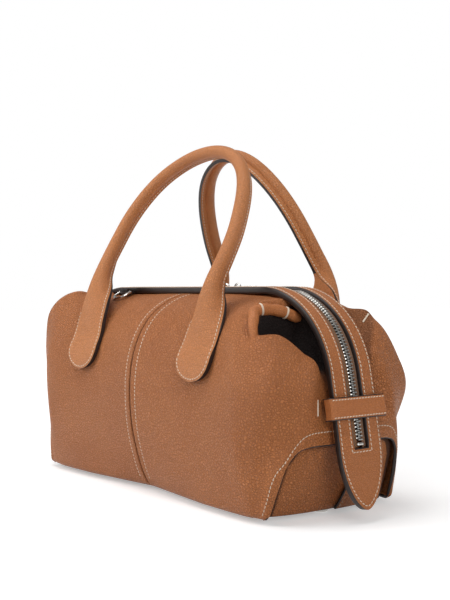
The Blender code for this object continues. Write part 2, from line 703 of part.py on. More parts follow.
def wire(name, route, diameter, mat, closed=False, origin=(0, 0, 0), sides=2):
    """A bent wire as a closed mesh, made from a curve with a round bevel."""
    curve = bpy.data.curves.new(name + "_route", "CURVE")
    curve.dimensions = "3D"
    curve.bevel_depth = diameter / 2
    curve.bevel_resolution = sides
    curve.use_fill_caps = True
    line = curve.splines.new("POLY")
    route = np.asarray(route, float) - np.asarray(origin, float)
    line.points.add(len(route) - 1)
    for point, spot in zip(line.points, route):
        point.co = (*spot, 1)
    line.use_cyclic_u = closed
    guide = bpy.data.objects.new(name + "_route", curve)
    PARTS.objects.link(guide)
    graph = bpy.context.evaluated_depsgraph_get()
    mesh = bpy.data.meshes.new_from_object(guide.evaluated_get(graph))
    edit = bmesh.new()
    edit.from_mesh(mesh)
    bmesh.ops.remove_doubles(edit, verts=edit.verts, dist=diameter / 1000)
    bmesh.ops.recalc_face_normals(edit, faces=edit.faces)
    edit.to_mesh(mesh)
    edit.free()
    bpy.data.objects.remove(guide, do_unlink=True)
    mesh.shade_smooth()
    mesh.materials.clear()
    mesh.materials.append(mat)
    obj = bpy.data.objects.new(name, mesh)
    obj.location = origin
    obj.parent = STAND
    PARTS.objects.link(obj)
    return obj


def make_slider(name, side):
    """A plate that rides over the chain, tapered at its nose, with a wire bail on top."""
    under = STRAP_TOP - STRAP_THICKNESS
    top = under + SLIDER_PLATE
    centre = side * SLIDER_SPACING / 2 + SLIDER_X
    half = SLIDER_LENGTH / 2
    wide = SLIDER_WIDTH / 2
    nose = wide * SLIDER_NOSE_SHARE
    shoulder = half * SLIDER_SHOULDER_SHARE
    outline = [(-half, -wide), (shoulder, -wide), (half, -nose), (half, nose),
               (shoulder, wide), (-half, wide)]
    outline = [(centre - side * along, across, under) for along, across in outline]
    points, faces = extrude_outline(outline, SLIDER_PLATE, (0, 0, 1))
    body = outward(place(name, points, faces, metal(), origin=(centre, 0, top), smooth=False))
    turn = np.linspace(0, math.pi, 11)
    reach = (BAIL_LENGTH - BAIL_WIRE) / 2
    sink = SLIDER_PLATE / 2
    rise = BAIL_RISE - BAIL_WIRE / 2 + sink
    arch = np.column_stack([centre + reach * np.cos(turn), np.zeros_like(turn),
                            top - sink + rise * np.sin(turn) ** BAIL_ROUND_POWER])
    bail = wire(name + "_bail", arch, BAIL_WIRE, metal(), origin=(centre, 0, top))
    join_solid(body, bail)
    make_pull(name.replace("slider", "pull"), centre, side, top + PULL_SEAT)


def make_pull(name, x, side, z):
    """A flat pull whose bar passes under the bail, with a square eye round the bail."""
    half = PULL_WIDTH / 2
    end = np.linspace(-math.pi / 2, math.pi / 2, 9)
    tip = PULL_LENGTH - half
    outline = [(-PULL_BAR / 2, half), (-PULL_BAR / 2, -half)]
    outline += [(tip + half * math.cos(turn), half * math.sin(turn)) for turn in end]
    low = z - PULL_THICKNESS / 2
    outline = [(x + side * along, across, low) for along, across in outline]
    points, faces = extrude_outline(outline, PULL_THICKNESS, (0, 0, 1))
    tab = outward(place(name, points, faces, metal(), origin=(x, 0, z), smooth=False))
    eye_half = half - PULL_BAR
    eye = [(PULL_BAR / 2, -eye_half), (PULL_EYE, -eye_half), (PULL_EYE, eye_half),
           (PULL_BAR / 2, eye_half)]
    eye = [(x + side * along, across, low - OVERRUN) for along, across in eye]
    points, faces = extrude_outline(eye, PULL_THICKNESS + 2 * OVERRUN, (0, 0, 1))
    cut_solid(tab, outward(place(name + "_eye", points, faces, metal(), smooth=False)))


# Keepers


def make_keeper(name, side):
    """A leather band bent into a staple over the tongue, with its ends on the body."""
    spots = np.linspace(0, HALF_STRAP, 2000)
    heights = strap_point(spots, 0, 0)[:, 2]
    station = spots[np.argmin(np.abs(heights - KEEPER_Z))]
    lift = KEEPER_THICKNESS + GAP
    reach = KEEPER_HALF_WIDTH
    corner = KEEPER_CORNER
    drop = STRAP_THICKNESS + lift
    bend = np.linspace(0, math.pi / 2, 4)
    half = [(0.0, 0.0), (STRAP_HALF_WIDTH / 2, 0.0)]
    half += [(reach - corner + corner * math.sin(turn), corner * (1 - math.cos(turn)))
             for turn in bend]
    half.append((reach, drop))
    outline = [(-y, depth) for y, depth in half[:0:-1]] + half
    rows = []
    for along in (-KEEPER_HEIGHT / 2, KEEPER_HEIGHT / 2):
        rows.append([strap_point(station + along, y, depth - lift) * [side, 1, 1]
                     for y, depth in outline])
    points = np.array(rows).reshape(-1, 3)
    faces = grid_faces(2, len(outline), flip=side > 0)
    thicken(place(name, points, faces, leather()), KEEPER_THICKNESS)


# Handles


def lean_at(distance, lean):
    """Angle of a handle from upright, inwards positive, at a distance from its hinge."""
    share = np.clip((distance - LEAN_START) / (LEAN_END - LEAN_START), 0, 1)
    return lean[0] + (lean[1] - lean[0]) * share * share * (3 - 2 * share)


def arch_route(height, bulge, taper_share):
    """The handle's centre line in its own sheet: (across, up) points evenly spaced."""
    turn = np.linspace(0, math.pi, 2001)
    up = height * np.sin(turn) ** (2 / ARCH_POWER)
    up_share = up / height
    width = (HANDLE_SPREAD + bulge * np.sin(up_share * math.pi)) * (1 - taper_share * up_share)
    across = np.sign(np.cos(turn)) * width * np.sqrt(1 - up_share ** ARCH_POWER)
    line = np.column_stack([across, up])
    length = np.concatenate([[0], np.cumsum(np.linalg.norm(np.diff(line, axis=0), axis=1))])
    even = np.linspace(0, length[-1], ARCH_STEPS + 1)
    return np.column_stack([np.interp(even, length, line[:, axis]) for axis in (0, 1)])


def handle_frame(up, side, lean):
    """(y, z) of the handle's sheet at each height, and the sheet's inward direction there."""
    dense = np.linspace(0, up.max(), 800)
    turn = lean_at(dense, lean)
    step = np.diff(dense, prepend=0)
    y = HINGE_Y - np.cumsum(np.sin(turn) * step)
    z = HINGE_Z + np.cumsum(np.cos(turn) * step)
    angle = lean_at(up, lean)
    inward = np.column_stack([0 * up, -side * np.cos(angle), -np.sin(angle)])
    centre = np.column_stack([side * np.interp(up, dense, y), np.interp(up, dense, z)])
    return centre, inward


def handle_section(flatness, fin_share):
    """(along the sheet, across it) points of a section: a flat neck turning into a round tube
    with a stitched fin on its inner side."""
    half_width = HANDLE_RADIUS + (NECK_WIDTH / 2 - HANDLE_RADIUS) * flatness
    half_depth = HANDLE_RADIUS + (NECK_THICKNESS / 2 - HANDLE_RADIUS) * flatness
    turn = np.radians([115, 150, 185, 220, 255, 285, 320, 355, 30, 65])
    ring = np.column_stack([half_width * np.cos(turn), half_depth * np.sin(turn)])
    root = half_depth * math.sin(math.radians(65))
    tip = half_depth + FIN_HEIGHT * fin_share
    fin = FIN_THICKNESS / 2
    return np.vstack([ring, [[fin, root + GAP], [fin, tip], [-fin, tip], [-fin, root + GAP]]])


def make_handle(name, side, height, bulge, taper_share, lean):
    route = arch_route(height, bulge, taper_share)
    centre, inward = handle_frame(route[:, 1], side, lean)
    spots = np.column_stack([route[:, 0], centre])
    tangent = np.gradient(spots, axis=0)
    tangent /= np.linalg.norm(tangent, axis=1, keepdims=True)
    upright = np.array([0, -side * math.sin(lean[0]), math.cos(lean[0])])
    tangent[0], tangent[-1] = upright, -upright
    sideways = np.cross(inward, tangent)
    sideways /= np.linalg.norm(sideways, axis=1, keepdims=True)
    rings = []
    for spot, along, out, run in zip(spots, sideways, inward, route[:, 1]):
        flatness = 0.5 + 0.5 * math.cos(math.pi * min(run / NECK_LENGTH, 1.0))
        fin_share = min(max((run - FIN_START) / FIN_GROWTH, 0.0), 1.0)
        section = handle_section(flatness, fin_share)
        rings.append(spot + section[:, :1] * along + section[:, 1:] * out)
    rings = round_ends(rings, spots, tangent)
    points, faces = close_rings(rings)
    origin = (0, side * HINGE_Y, HINGE_Z)
    outward(place(name, points, faces, leather(), origin=origin))


def round_ends(rings, spots, tangent):
    """Adds a shrunk ring past each end, so that the neck turns on its seat without digging."""
    first = spots[0] + (rings[0] - spots[0]) * NECK_END_SHARE - tangent[0] * NECK_END_LENGTH
    last = spots[-1] + (rings[-1] - spots[-1]) * NECK_END_SHARE + tangent[-1] * NECK_END_LENGTH
    return [first] + rings + [last]


def make_patch(name, side_x, side_y):
    """A rounded patch on the panel under a handle: a foot of half a circle, then a slight
    taper to the neck. Its back follows the panel's face."""
    sweep = math.hypot(NECK_END_LENGTH, NECK_END_SHARE * NECK_THICKNESS / 2)
    top_z = HINGE_Z - sweep - NECK_CLEARANCE
    foot_z = HINGE_Z - PATCH_FOOT_DROP
    widest_z = HINGE_Z - PATCH_WIDEST_DROP
    half = PATCH_WIDTH / 2
    across = np.array(PATCH_ACROSS_SHARES)
    crown = PATCH_THICKNESS * np.array(PATCH_CROWN_SHARES)
    rings = []
    for z in np.linspace(foot_z, top_z, PATCH_ROWS + 1):
        fall = max(0.0, (widest_z - z) / (widest_z - foot_z))
        rise = max(0.0, (z - widest_z) / (top_z - widest_z))
        width = half * max(math.sqrt(1 - fall ** 2), PATCH_FOOT_SHARE)
        width += (PATCH_TOP_WIDTH / 2 - half) * rise ** 2
        spots = HANDLE_SPREAD + width * across
        back = [(x, panel_face_y((side_x, side_y), x, z) + 2 * GAP, z) for x in spots]
        front = [(x, y + lift, z) for (x, y, z), lift in zip(back, crown)]
        rings.append(np.array(back + front[::-1]) * [side_x, side_y, 1])
    points, faces = close_rings(rings)
    outward(place(name, points, faces, leather()))


def make_handles():
    make_handle("handle_front", -1, FRONT_ARCH, FRONT_BULGE, FRONT_TAPER_SHARE, FRONT_LEAN)
    make_handle("handle_rear", 1, REAR_ARCH, REAR_BULGE, REAR_TAPER_SHARE, REAR_LEAN)
    for side_y, depth_name in ((-1, "front"), (1, "rear")):
        for side_x, side_name in ((-1, "left"), (1, "right")):
            make_patch(f"handle_patch_{depth_name}_{side_name}", side_x, side_y)


# Side rings


def ring_axis(side):
    """Place of a side ring's bar, beside the strap's edge and clear of the panel."""
    y = STRAP_HALF_WIDTH + CHAPE_OUT
    tree = PANEL_TREES[(-side, -side)]
    hit = tree.ray_cast(Vector((RING_X, -y, BODY_HEIGHT * 2)), Vector((0, 0, -1)))[0]
    radius = RING_WIRE / 2 + BORE_CLEARANCE + CHAPE_WALL
    return Vector((-side * RING_X, -side * y, hit.z + radius + 3 * GAP))


def make_side_ring(name, side):
    """A wire ring with one straight bar; side is 1 at the front left and -1 at the rear right."""
    axis = ring_axis(side)
    half = RING_WIDTH / 2
    straight = RING_DROP * RING_STRAIGHT_SHARE
    turn = np.linspace(0, math.pi, 9)
    loop = [(half, 0.0), (-half, 0.0)]
    loop += [(-half * math.cos(t), straight + (RING_DROP - straight) * math.sin(t)) for t in turn]
    route = [(axis.x + across, axis.y - side * out * math.cos(RING_ANGLE),
              axis.z - out * math.sin(RING_ANGLE)) for across, out in loop]
    wire("d_ring_" + name, route, RING_WIRE, metal(), closed=True, origin=tuple(axis))
    make_chape("chape_" + name, side, axis)


def make_chape(name, side, axis):
    """A leather fold round the ring's bar, with its tail against the strap's edge."""
    radius = RING_WIRE / 2 + BORE_CLEARANCE + CHAPE_WALL
    turn = np.linspace(math.pi / 2, 3 * math.pi / 2, 9)
    tail = CHAPE_OUT - GAP
    outline = [(tail, -radius * CHAPE_TAIL_SHARES[0]), (tail, radius * CHAPE_TAIL_SHARES[1])]
    outline += [(radius * math.cos(t), radius * math.sin(t)) for t in turn]
    start = axis.x - CHAPE_WIDTH / 2
    outline = [(start, axis.y + side * out, axis.z + up) for out, up in outline]
    points, faces = extrude_outline(outline, CHAPE_WIDTH, (1, 0, 0))
    chape = outward(place(name, points, faces, leather(), smooth=False))
    bore_radius = RING_WIRE / 2 + BORE_CLEARANCE
    start -= OVERRUN
    turn = np.linspace(0, 2 * math.pi, 12, endpoint=False)
    bore = [(start, axis.y + bore_radius * math.cos(t), axis.z + bore_radius * math.sin(t))
            for t in turn]
    points, faces = extrude_outline(bore, CHAPE_WIDTH + 2 * OVERRUN, (1, 0, 0))
    cut_solid(chape, outward(place(name + "_bore", points, faces, leather(), smooth=False)))


# Feet


def make_stud(name, x, y):
    """A domed metal stud, turned round its own axis."""
    profile = [(STUD_FLAT_RADIUS, -FOOT_HEIGHT)]
    profile += [(STUD_RADIUS * wide, -FOOT_HEIGHT * deep) for wide, deep in STUD_DOME_SHARES]
    profile.append((STUD_RADIUS, -GAP))
    turn = np.linspace(0, 2 * math.pi, STUD_STEPS, endpoint=False)
    rings = [np.column_stack([x + radius * np.cos(turn), y + radius * np.sin(turn),
                              np.full_like(turn, z)]) for radius, z in profile]
    points, faces = close_rings(rings)
    outward(place(name, points, faces, metal()))


def make_studs():
    corner_x = END_FOOT_REACH - STUD_END_MARGIN
    corner_y = BELLY_DEPTH / 2 - STUD_SIDE_MARGIN
    for side_x, side_name in ((-1, "left"), (1, "right")):
        make_stud(f"foot_stud_{side_name}_end", side_x * (END_FOOT_REACH - END_STUD_MARGIN), 0)
        for side_y, depth_name in ((-1, "front"), (1, "rear")):
            make_stud(f"foot_stud_{depth_name}_{side_name}", side_x * corner_x, side_y * corner_y)


make_body_panels()
make_end_leaves()
make_bottom()
make_lining()
make_strap()
make_stringer("zip_stringer_front", -1)
make_stringer("zip_stringer_rear", 1)
make_stop("zip_stop_left", -1)
make_stop("zip_stop_right", 1)
make_slider("slider_left", -1)
make_slider("slider_right", 1)
make_keeper("keeper_left", -1)
make_keeper("keeper_right", 1)
make_handles()
make_side_ring("front", 1)
make_side_ring("rear", -1)
make_studs()
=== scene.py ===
"""Looks of the tan leather bowling bag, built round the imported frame.
Lengths are in metres. Shapes are worked out in the bag's own frame, whose leather stands
FOOT_HEIGHT above the floor, and go into the mesh with that height added."""

import math

import bpy
import numpy as np
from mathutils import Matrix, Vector
from mathutils.bvhtree import BVHTree


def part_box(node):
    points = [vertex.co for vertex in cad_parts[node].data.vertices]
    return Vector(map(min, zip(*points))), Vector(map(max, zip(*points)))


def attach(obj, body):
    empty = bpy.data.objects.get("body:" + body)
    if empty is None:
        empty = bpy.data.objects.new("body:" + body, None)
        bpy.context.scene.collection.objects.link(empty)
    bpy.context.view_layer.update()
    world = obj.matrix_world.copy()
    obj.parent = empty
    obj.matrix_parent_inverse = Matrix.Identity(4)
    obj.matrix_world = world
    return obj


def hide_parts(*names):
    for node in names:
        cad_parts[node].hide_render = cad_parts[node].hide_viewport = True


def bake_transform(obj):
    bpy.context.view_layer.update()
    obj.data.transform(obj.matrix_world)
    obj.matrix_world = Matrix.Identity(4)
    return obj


MM = 0.001
GAP = 0.3 * MM

# Body, as in the solids
BELLY_LENGTH = 328.0 * MM
BELLY_DEPTH = 146.0 * MM
BODY_HEIGHT = 147.0 * MM
LEATHER = 2.6 * MM
FOOT_HEIGHT = 3.0 * MM
CENTRE_SHARES = (
    ((0.000, 0.719, 0.000), (0.000, 0.835, 0.122), (0.000, 0.945, 0.327), (0.000, 0.970, 0.551),
     (0.000, 0.905, 0.728), (0.000, 0.750, 0.864), (0.000, 0.525, 0.950), (0.000, 0.295, 0.994)),
    ((0.455, 0.840, 0.000), (0.460, 0.890, 0.122), (0.463, 0.932, 0.327), (0.465, 0.918, 0.551),
     (0.463, 0.842, 0.728), (0.461, 0.712, 0.864), (0.459, 0.535, 0.946), (0.458, 0.290, 0.990)),
)
SAGGED_SHARES = (
    ((0.660, 0.855, 0.000), (0.677, 0.905, 0.122), (0.692, 0.960, 0.327), (0.701, 0.985, 0.551),
     (0.690, 0.910, 0.728), (0.672, 0.785, 0.845), (0.660, 0.610, 0.935), (0.655, 0.300, 0.978)),
    ((0.738, 0.855, 0.000), (0.759, 0.912, 0.122), (0.780, 0.966, 0.327), (0.793, 0.995, 0.551),
     (0.771, 0.905, 0.720), (0.741, 0.735, 0.830), (0.726, 0.590, 0.940), (0.725, 0.320, 0.950)),
    ((0.793, 0.845, 0.000), (0.811, 0.895, 0.122), (0.842, 0.900, 0.327), (0.878, 0.945, 0.551),
     (0.848, 0.855, 0.705), (0.797, 0.735, 0.815), (0.759, 0.510, 0.715), (0.759, 0.300, 0.760)),
    ((0.835, 0.829, 0.000), (0.860, 0.830, 0.122), (0.881, 0.829, 0.327), (0.939, 0.850, 0.551),
     (0.908, 0.780, 0.700), (0.835, 0.562, 0.812), (0.796, 0.420, 0.700), (0.805, 0.270, 0.735)),
    ((0.869, 0.822, 0.000), (0.893, 0.808, 0.136), (0.915, 0.765, 0.340), (0.982, 0.712, 0.531),
     (0.955, 0.600, 0.650), (0.902, 0.425, 0.739), (0.868, 0.320, 0.670), (0.885, 0.210, 0.690)),
    ((0.884, 0.795, 0.014), (0.912, 0.785, 0.163), (0.965, 0.680, 0.354), (1.000, 0.560, 0.490),
     (0.994, 0.466, 0.578), (0.963, 0.340, 0.650), (0.945, 0.270, 0.630), (0.950, 0.210, 0.595)),
)
FULL_SHARES = (
    # ahead of the pinched corner
    ((0.660, 0.855, 0.000), (0.677, 0.905, 0.122), (0.692, 0.960, 0.327), (0.701, 0.985, 0.551),
     (0.690, 0.920, 0.728), (0.672, 0.820, 0.870), (0.662, 0.640, 0.975), (0.655, 0.310, 0.975)),
    # crown of the rolled ridge
    ((0.738, 0.855, 0.000), (0.755, 0.905, 0.122), (0.775, 0.960, 0.327), (0.785, 0.975, 0.551),
     (0.775, 0.940, 0.728), (0.752, 0.850, 0.890), (0.724, 0.640, 1.010), (0.725, 0.345, 0.966)),
    # back of the ridge, falling into the pit
    ((0.793, 0.845, 0.000), (0.808, 0.890, 0.122), (0.835, 0.885, 0.327), (0.850, 0.905, 0.551),
     (0.850, 0.900, 0.715), (0.826, 0.830, 0.915), (0.790, 0.660, 0.995), (0.772, 0.330, 0.925)),
    # front corner
    ((0.835, 0.829, 0.000), (0.855, 0.820, 0.122), (0.875, 0.815, 0.327), (0.905, 0.815, 0.551),
     (0.920, 0.830, 0.710), (0.905, 0.800, 0.880), (0.855, 0.620, 0.945), (0.828, 0.310, 0.870)),
    # crest beside the strap
    ((0.869, 0.822, 0.000), (0.890, 0.805, 0.136), (0.912, 0.755, 0.340), (0.960, 0.670, 0.551),
     (0.975, 0.650, 0.700), (0.962, 0.600, 0.820), (0.920, 0.430, 0.830), (0.892, 0.230, 0.770)),
    # end face above the keeper
    ((0.884, 0.795, 0.014), (0.912, 0.785, 0.163), (0.963, 0.680, 0.354), (0.992, 0.545, 0.500),
     (0.992, 0.480, 0.610), (0.982, 0.410, 0.690), (0.955, 0.290, 0.650), (0.948, 0.210, 0.600)),
)
FULLNESS_SHARES = {(1, -1): (0.0,) * 6, (1, 1): (0.0, 0.0, 0.4, 0.45, 0.35, 0.35),
                   (-1, -1): (1.0,) * 6, (-1, 1): (1.0,) * 6}
REAR_RIGHT_SHARES = {(1, 5): (0.745, 0.760, 0.850), (1, 6): (0.726, 0.590, 0.925),
                     (2, 5): (0.800, 0.760, 0.865), (2, 6): (0.770, 0.665, 0.915),
                     (3, 3): (0.945, 0.855, 0.551)}
STATION_SHARES = (0.0, 0.315, 0.440, 0.497, 0.528, 0.600, 0.705, 0.835)
BELL_HALF_WIDTH = 56.0 * MM
BELL_HEIGHT = 47.5 * MM
BELL_SHARES = ((1.000, 0.000), (0.975, 0.400), (0.920, 0.730), (0.800, 0.930),
               (0.650, 0.990), (0.500, 1.000), (0.360, 1.000), (0.270, 1.000))
BELL_RIM = np.array(BELL_SHARES) * [BELL_HALF_WIDTH, BELL_HEIGHT]
BELL_STATION_SHARE = 0.985
END_FOOT_REACH = 148.0 * MM
END_SWELL = 14.5 * MM
END_SWELL_POWER = 0.8
END_BOW = 4.5 * MM
LEAF_THICKNESS = 2.0 * MM
LEAF_TUCK = 2.0 * MM
LEAF_CORNER_DRAW = 4.0 * MM
LEAF_CORNER_POWER = 4
LEAF_INSET = 3.6 * MM
LAP_FOOT_Y = 2.0 * MM
LAP_TOP_Y = 17.0 * MM
LAP_WIDTH = 12.0 * MM

# Strap and zip, as in the solids
STRAP_HALF_WIDTH = 20.0 * MM
STRAP_THICKNESS = 4.8 * MM
STRAP_FLAT_HALF = 93.4 * MM
STRAP_RADIUS = 71.3 * MM
STRAP_TURN = math.radians(78.5)
TONGUE_LENGTH = 90.5 * MM
TONGUE_TURN = math.radians(4.0)
TONGUE_TAPER = 41.0 * MM
TIP_ROUND_POWER = 2
TIP_WIDTH_POWER = 0.6
SLOT_HALF_WIDTH = 6.4 * MM
SLOT_IN_TONGUE = 50.0 * MM
PANEL_EDGE_Y = 11.0 * MM
SLIDER_X = 34.5 * MM
SLIDER_SPACING = 14.2 * MM
SLIDER_PLATE = 2.3 * MM
PULL_SEAT = 2.1 * MM
KEEPER_HALF_WIDTH = 25.5 * MM
KEEPER_HEIGHT = 15.0 * MM
KEEPER_Z = 72.0 * MM
KEEPER_THICKNESS = 2.2 * MM
KEEPER_CORNER = 1.8 * MM

# Handles: hinge, patches and rear arch as in the solids, front arch as in the photograph
HANDLE_SPREAD = 76.0 * MM
HINGE_Z = 117.0 * MM
HINGE_Y = 62.2 * MM
NECK_THICKNESS = 5.0 * MM
FRONT_ARCH = (159.3 * MM, 2.0 * MM, 0.0)
FRONT_LEAN = (math.radians(20.4), math.radians(28.1))
REAR_ARCH = (151.0 * MM, 0.0, 0.35)
REAR_LEAN = (math.radians(-12.0), math.radians(24.6))
LEAN_START = 24.0 * MM
LEAN_END = 62.0 * MM
ARCH_POWER = 4.2
PATCH_FOOT_Z = 86.0 * MM
PATCH_WIDEST_Z = 102.0 * MM
PATCH_THICKNESS = 4.4 * MM

# Finish: stitches, grooves, folds, painted edges and shades
STITCH_PITCH = 2.8 * MM
STITCH_LENGTH = 2.05 * MM
STITCH_RADIUS = 0.31 * MM
STITCH_SLANT = 0.16
SEAM_STITCH = 6.6 * MM
SEAM_STITCH_ROWS = slice(9, -3)
SEAM_GROOVE = 1.5 * MM
SEAM_GROOVE_WIDTH = 0.65 * MM
PUFF_HEIGHT, PUFF_PLACE, PUFF_WIDTH = 0.35 * MM, 2.3 * MM, 1.5 * MM
CHANNEL_DEPTH, CHANNEL_WIDTH = 0.25 * MM, 0.8 * MM
WAVE_HEIGHT = 0.35 * MM
WAVE_RATES = (61.0, 47.0, 73.0)
WAVE_START = 30.0 * MM
PANEL_EDGE = 0.9 * MM
EDGE_POWER = 0.7
FOOT_ROLL = 4.5 * MM
LIP_HEIGHT = 6.0 * MM
LIP_ACROSS = (20.6 * MM, 23.5 * MM, 25.0 * MM, 38.0 * MM)
LIP_ALONG = (94.0 * MM, 106.0 * MM, 128.0 * MM, 150.0 * MM)
FOLD_COLUMNS = (3.02, 3.25, 6.4, 7.4)
FOLD_ROWS = (5.12, 5.5)
SEAM_COLUMNS = (0.004, 0.012)
CREST_COLUMNS = (2.9, 4.2, 7.2, 8.0)
CREST_ROWS = (3.2, 4.6)
BELL_STITCH = 9.2 * MM
NORMAL_REACH = 20.0 * MM
BELL_STITCH_FOOT = 3.0 * MM
BELL_STITCH_TOP_Y = 12.0 * MM
BELL_STITCH_ROWS = 92
THREAD_RADIUS = 0.36 * MM
LAP_STITCH = 2.6 * MM
LAP_STITCH_FOOT = 1.5 * MM
LEAF_SAG = 0.5 * MM
LEAF_SAG_RATES = (90.0, 120.0)
LEAF_EDGE = 0.7 * MM
LEAF_SHADE = 2.2 * MM
LEAF_SHADE_SLOPE = 0.87
LEAF_SHADE_DEPTH = 0.85
LEAF_TOP_SHADE = 3.0 * MM
KEEPER_SWELL = 0.35 * MM
KEEPER_EDGE = 0.8 * MM
KEEPER_STITCH = 1.8 * MM
KEEPER_STITCH_END = 1.2 * MM
KEEPER_STITCH_RISE = 0.15 * MM
KEEPER_STITCH_SIZE = {"pitch": 2.7 * MM, "length": 2.0 * MM}

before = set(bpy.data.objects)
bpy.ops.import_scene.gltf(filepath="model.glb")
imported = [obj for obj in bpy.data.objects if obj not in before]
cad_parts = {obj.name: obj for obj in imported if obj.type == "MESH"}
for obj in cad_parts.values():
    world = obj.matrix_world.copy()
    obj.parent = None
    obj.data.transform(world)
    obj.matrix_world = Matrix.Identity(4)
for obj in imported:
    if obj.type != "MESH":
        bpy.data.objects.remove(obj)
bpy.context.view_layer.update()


# Curves and surfaces


def spline_at(points, where):
    """Catmull-Rom curve through the first axis of points, at parameters that count its spans:
    in each span a cubic joins its two points, and its slope at each is half the step between
    the points on either side of that one."""
    points = np.asarray(points, float)
    ends = np.concatenate([[2 * points[0] - points[1]], points, [2 * points[-1] - points[-2]]])
    where = np.asarray(where, float)
    span = np.clip(where.astype(int), 0, len(points) - 2)
    t = (where - span).reshape((-1,) + (1,) * (points.ndim - 1))
    before, start, end, after = (ends[span + k] for k in range(4))
    return 0.5 * (2 * start + (end - before) * t
                  + (2 * before - 5 * start + 4 * end - after) * t ** 2
                  + (3 * start - before - 3 * end + after) * t ** 3)


def smoothstep(low, high, value):
    """0 below low, 1 above high, and the cubic ramp between."""
    share = np.clip((value - low) / (high - low), 0, 1)
    return share * share * (3 - 2 * share)


def between(value, edges):
    """1 inside a band: a ramp up over the first two of its four edges, down over the others."""
    return smoothstep(edges[0], edges[1], value) * (1 - smoothstep(edges[2], edges[3], value))


def swelling(value, place, width):
    """A smooth bump of height 1 at a place: the exponential of minus the squared distance."""
    return np.exp(-((value - place) / width) ** 2)


def unit(vectors):
    """Vectors of length 1 in the same directions."""
    return vectors / np.maximum(np.linalg.norm(vectors, axis=-1, keepdims=True), 1e-12)


def resampled(path, count):
    """A polyline at count + 1 places evenly spaced along it. What rides in the columns after
    the third is carried along."""
    steps = np.linalg.norm(np.diff(path[:, :3], axis=0), axis=1)
    length = np.concatenate([[0], np.cumsum(steps)])
    even = np.linspace(0, length[-1], count + 1)
    return np.column_stack([np.interp(even, length, path[:, axis]) for axis in range(path.shape[1])])


def heading(distance):
    """How far the strap has turned down from level at a distance along it, in radians."""
    arc = STRAP_RADIUS * STRAP_TURN
    on_arc = np.clip((distance - STRAP_FLAT_HALF) / arc, 0, 1)
    on_tongue = np.clip((distance - STRAP_FLAT_HALF - arc) / TONGUE_LENGTH, 0, 1)
    return STRAP_TURN * on_arc + TONGUE_TURN * on_tongue


ARC_END = STRAP_FLAT_HALF + STRAP_RADIUS * STRAP_TURN
HALF_STRAP = ARC_END + TONGUE_LENGTH
HALF_SLOT = ARC_END + SLOT_IN_TONGUE
STRAP_TOP = BODY_HEIGHT + STRAP_THICKNESS + GAP
PATH_DISTANCES = np.linspace(0, HALF_STRAP, 2400)
PATH_TURNS = heading((PATH_DISTANCES[1:] + PATH_DISTANCES[:-1]) / 2)
PATH_STEPS = np.diff(PATH_DISTANCES)
PATH_X = np.concatenate([[0], np.cumsum(np.cos(PATH_TURNS) * PATH_STEPS)])
PATH_Z = STRAP_TOP - np.concatenate([[0], np.cumsum(np.sin(PATH_TURNS) * PATH_STEPS)])


def strap_point(distance, y, depth):
    """A point at a signed distance along the strap, across at y, and a depth below its face:
    the arc path gives x and z, and the depth goes along the inward normal."""
    distance, y, depth = np.broadcast_arrays(np.asarray(distance, float), y, depth)
    side = np.where(distance < 0, -1.0, 1.0)
    along = np.abs(distance)
    turn = heading(along)
    x = np.interp(along, PATH_DISTANCES, PATH_X) - np.sin(turn) * depth
    z = np.interp(along, PATH_DISTANCES, PATH_Z) - np.cos(turn) * depth
    return np.stack([side * x, y, z], axis=-1)


def strap_normal(distance):
    """The strap's outward normal at a signed distance along it."""
    turn = heading(np.abs(distance))
    side = np.where(np.asarray(distance) < 0, -1.0, 1.0)
    return np.stack([side * np.sin(turn), 0 * turn, np.cos(turn)], axis=-1)


def end_face_x(y, z):
    """How far out the end face lies: a foot reach, a swell with height and a bow across."""
    rise = np.clip(z / BELL_HEIGHT, 0, None) ** END_SWELL_POWER
    return END_FOOT_REACH + END_SWELL * rise - END_BOW * (y / BELL_HALF_WIDTH) ** 2


def quarter_sections(corner):
    """Control points of a quarter panel, sections by points, blended from sagged to full."""
    scale = np.array([BELLY_LENGTH / 2, BELLY_DEPTH / 2, BODY_HEIGHT])
    sagged = np.array(SAGGED_SHARES)
    fullness = np.array(FULLNESS_SHARES[corner])[:, None, None]
    end = sagged + (np.array(FULL_SHARES) - sagged) * fullness
    if corner == (1, 1):
        for (section, point), shares in REAR_RIGHT_SHARES.items():
            end[section, point] = shares
    middle = np.concatenate([CENTRE_SHARES, end]) * scale
    under = STRAP_THICKNESS + 2 * GAP
    edges = strap_point(np.array(STATION_SHARES) * HALF_SLOT, PANEL_EDGE_Y, under)
    sections = np.concatenate([middle, edges[:, None]], axis=1)
    rim = np.column_stack([end_face_x(*BELL_RIM.T), BELL_RIM])
    edge = strap_point(BELL_STATION_SHARE * HALF_SLOT, PANEL_EDGE_Y, under)
    return np.concatenate([sections, [np.vstack([rim, edge])]])


def quarter_surface(corner, columns, rows):
    """The quarter's face: a Catmull-Rom surface over its sections, at parameters that count
    sections along the bag and points up each section."""
    up = spline_at(np.swapaxes(quarter_sections(corner), 0, 1), rows)
    return spline_at(np.swapaxes(up, 0, 1), columns)


def grid_normals(points):
    """Unit normals of a grid of points, from the cross product of its two slopes."""
    return unit(np.cross(np.gradient(points, axis=0), np.gradient(points, axis=1)))


# Meshes


def grid_quads(rows, columns, close_rows=False, close_columns=False):
    """Quads of a grid of points, optionally closed round in either direction."""
    index = np.arange(rows * columns).reshape(rows, columns)
    if close_rows:
        index = np.vstack([index, index[:1]])
    if close_columns:
        index = np.hstack([index, index[:, :1]])
    return np.stack([index[:-1, :-1], index[1:, :-1], index[1:, 1:], index[:-1, 1:]],
                    axis=-1).reshape(-1, 4)


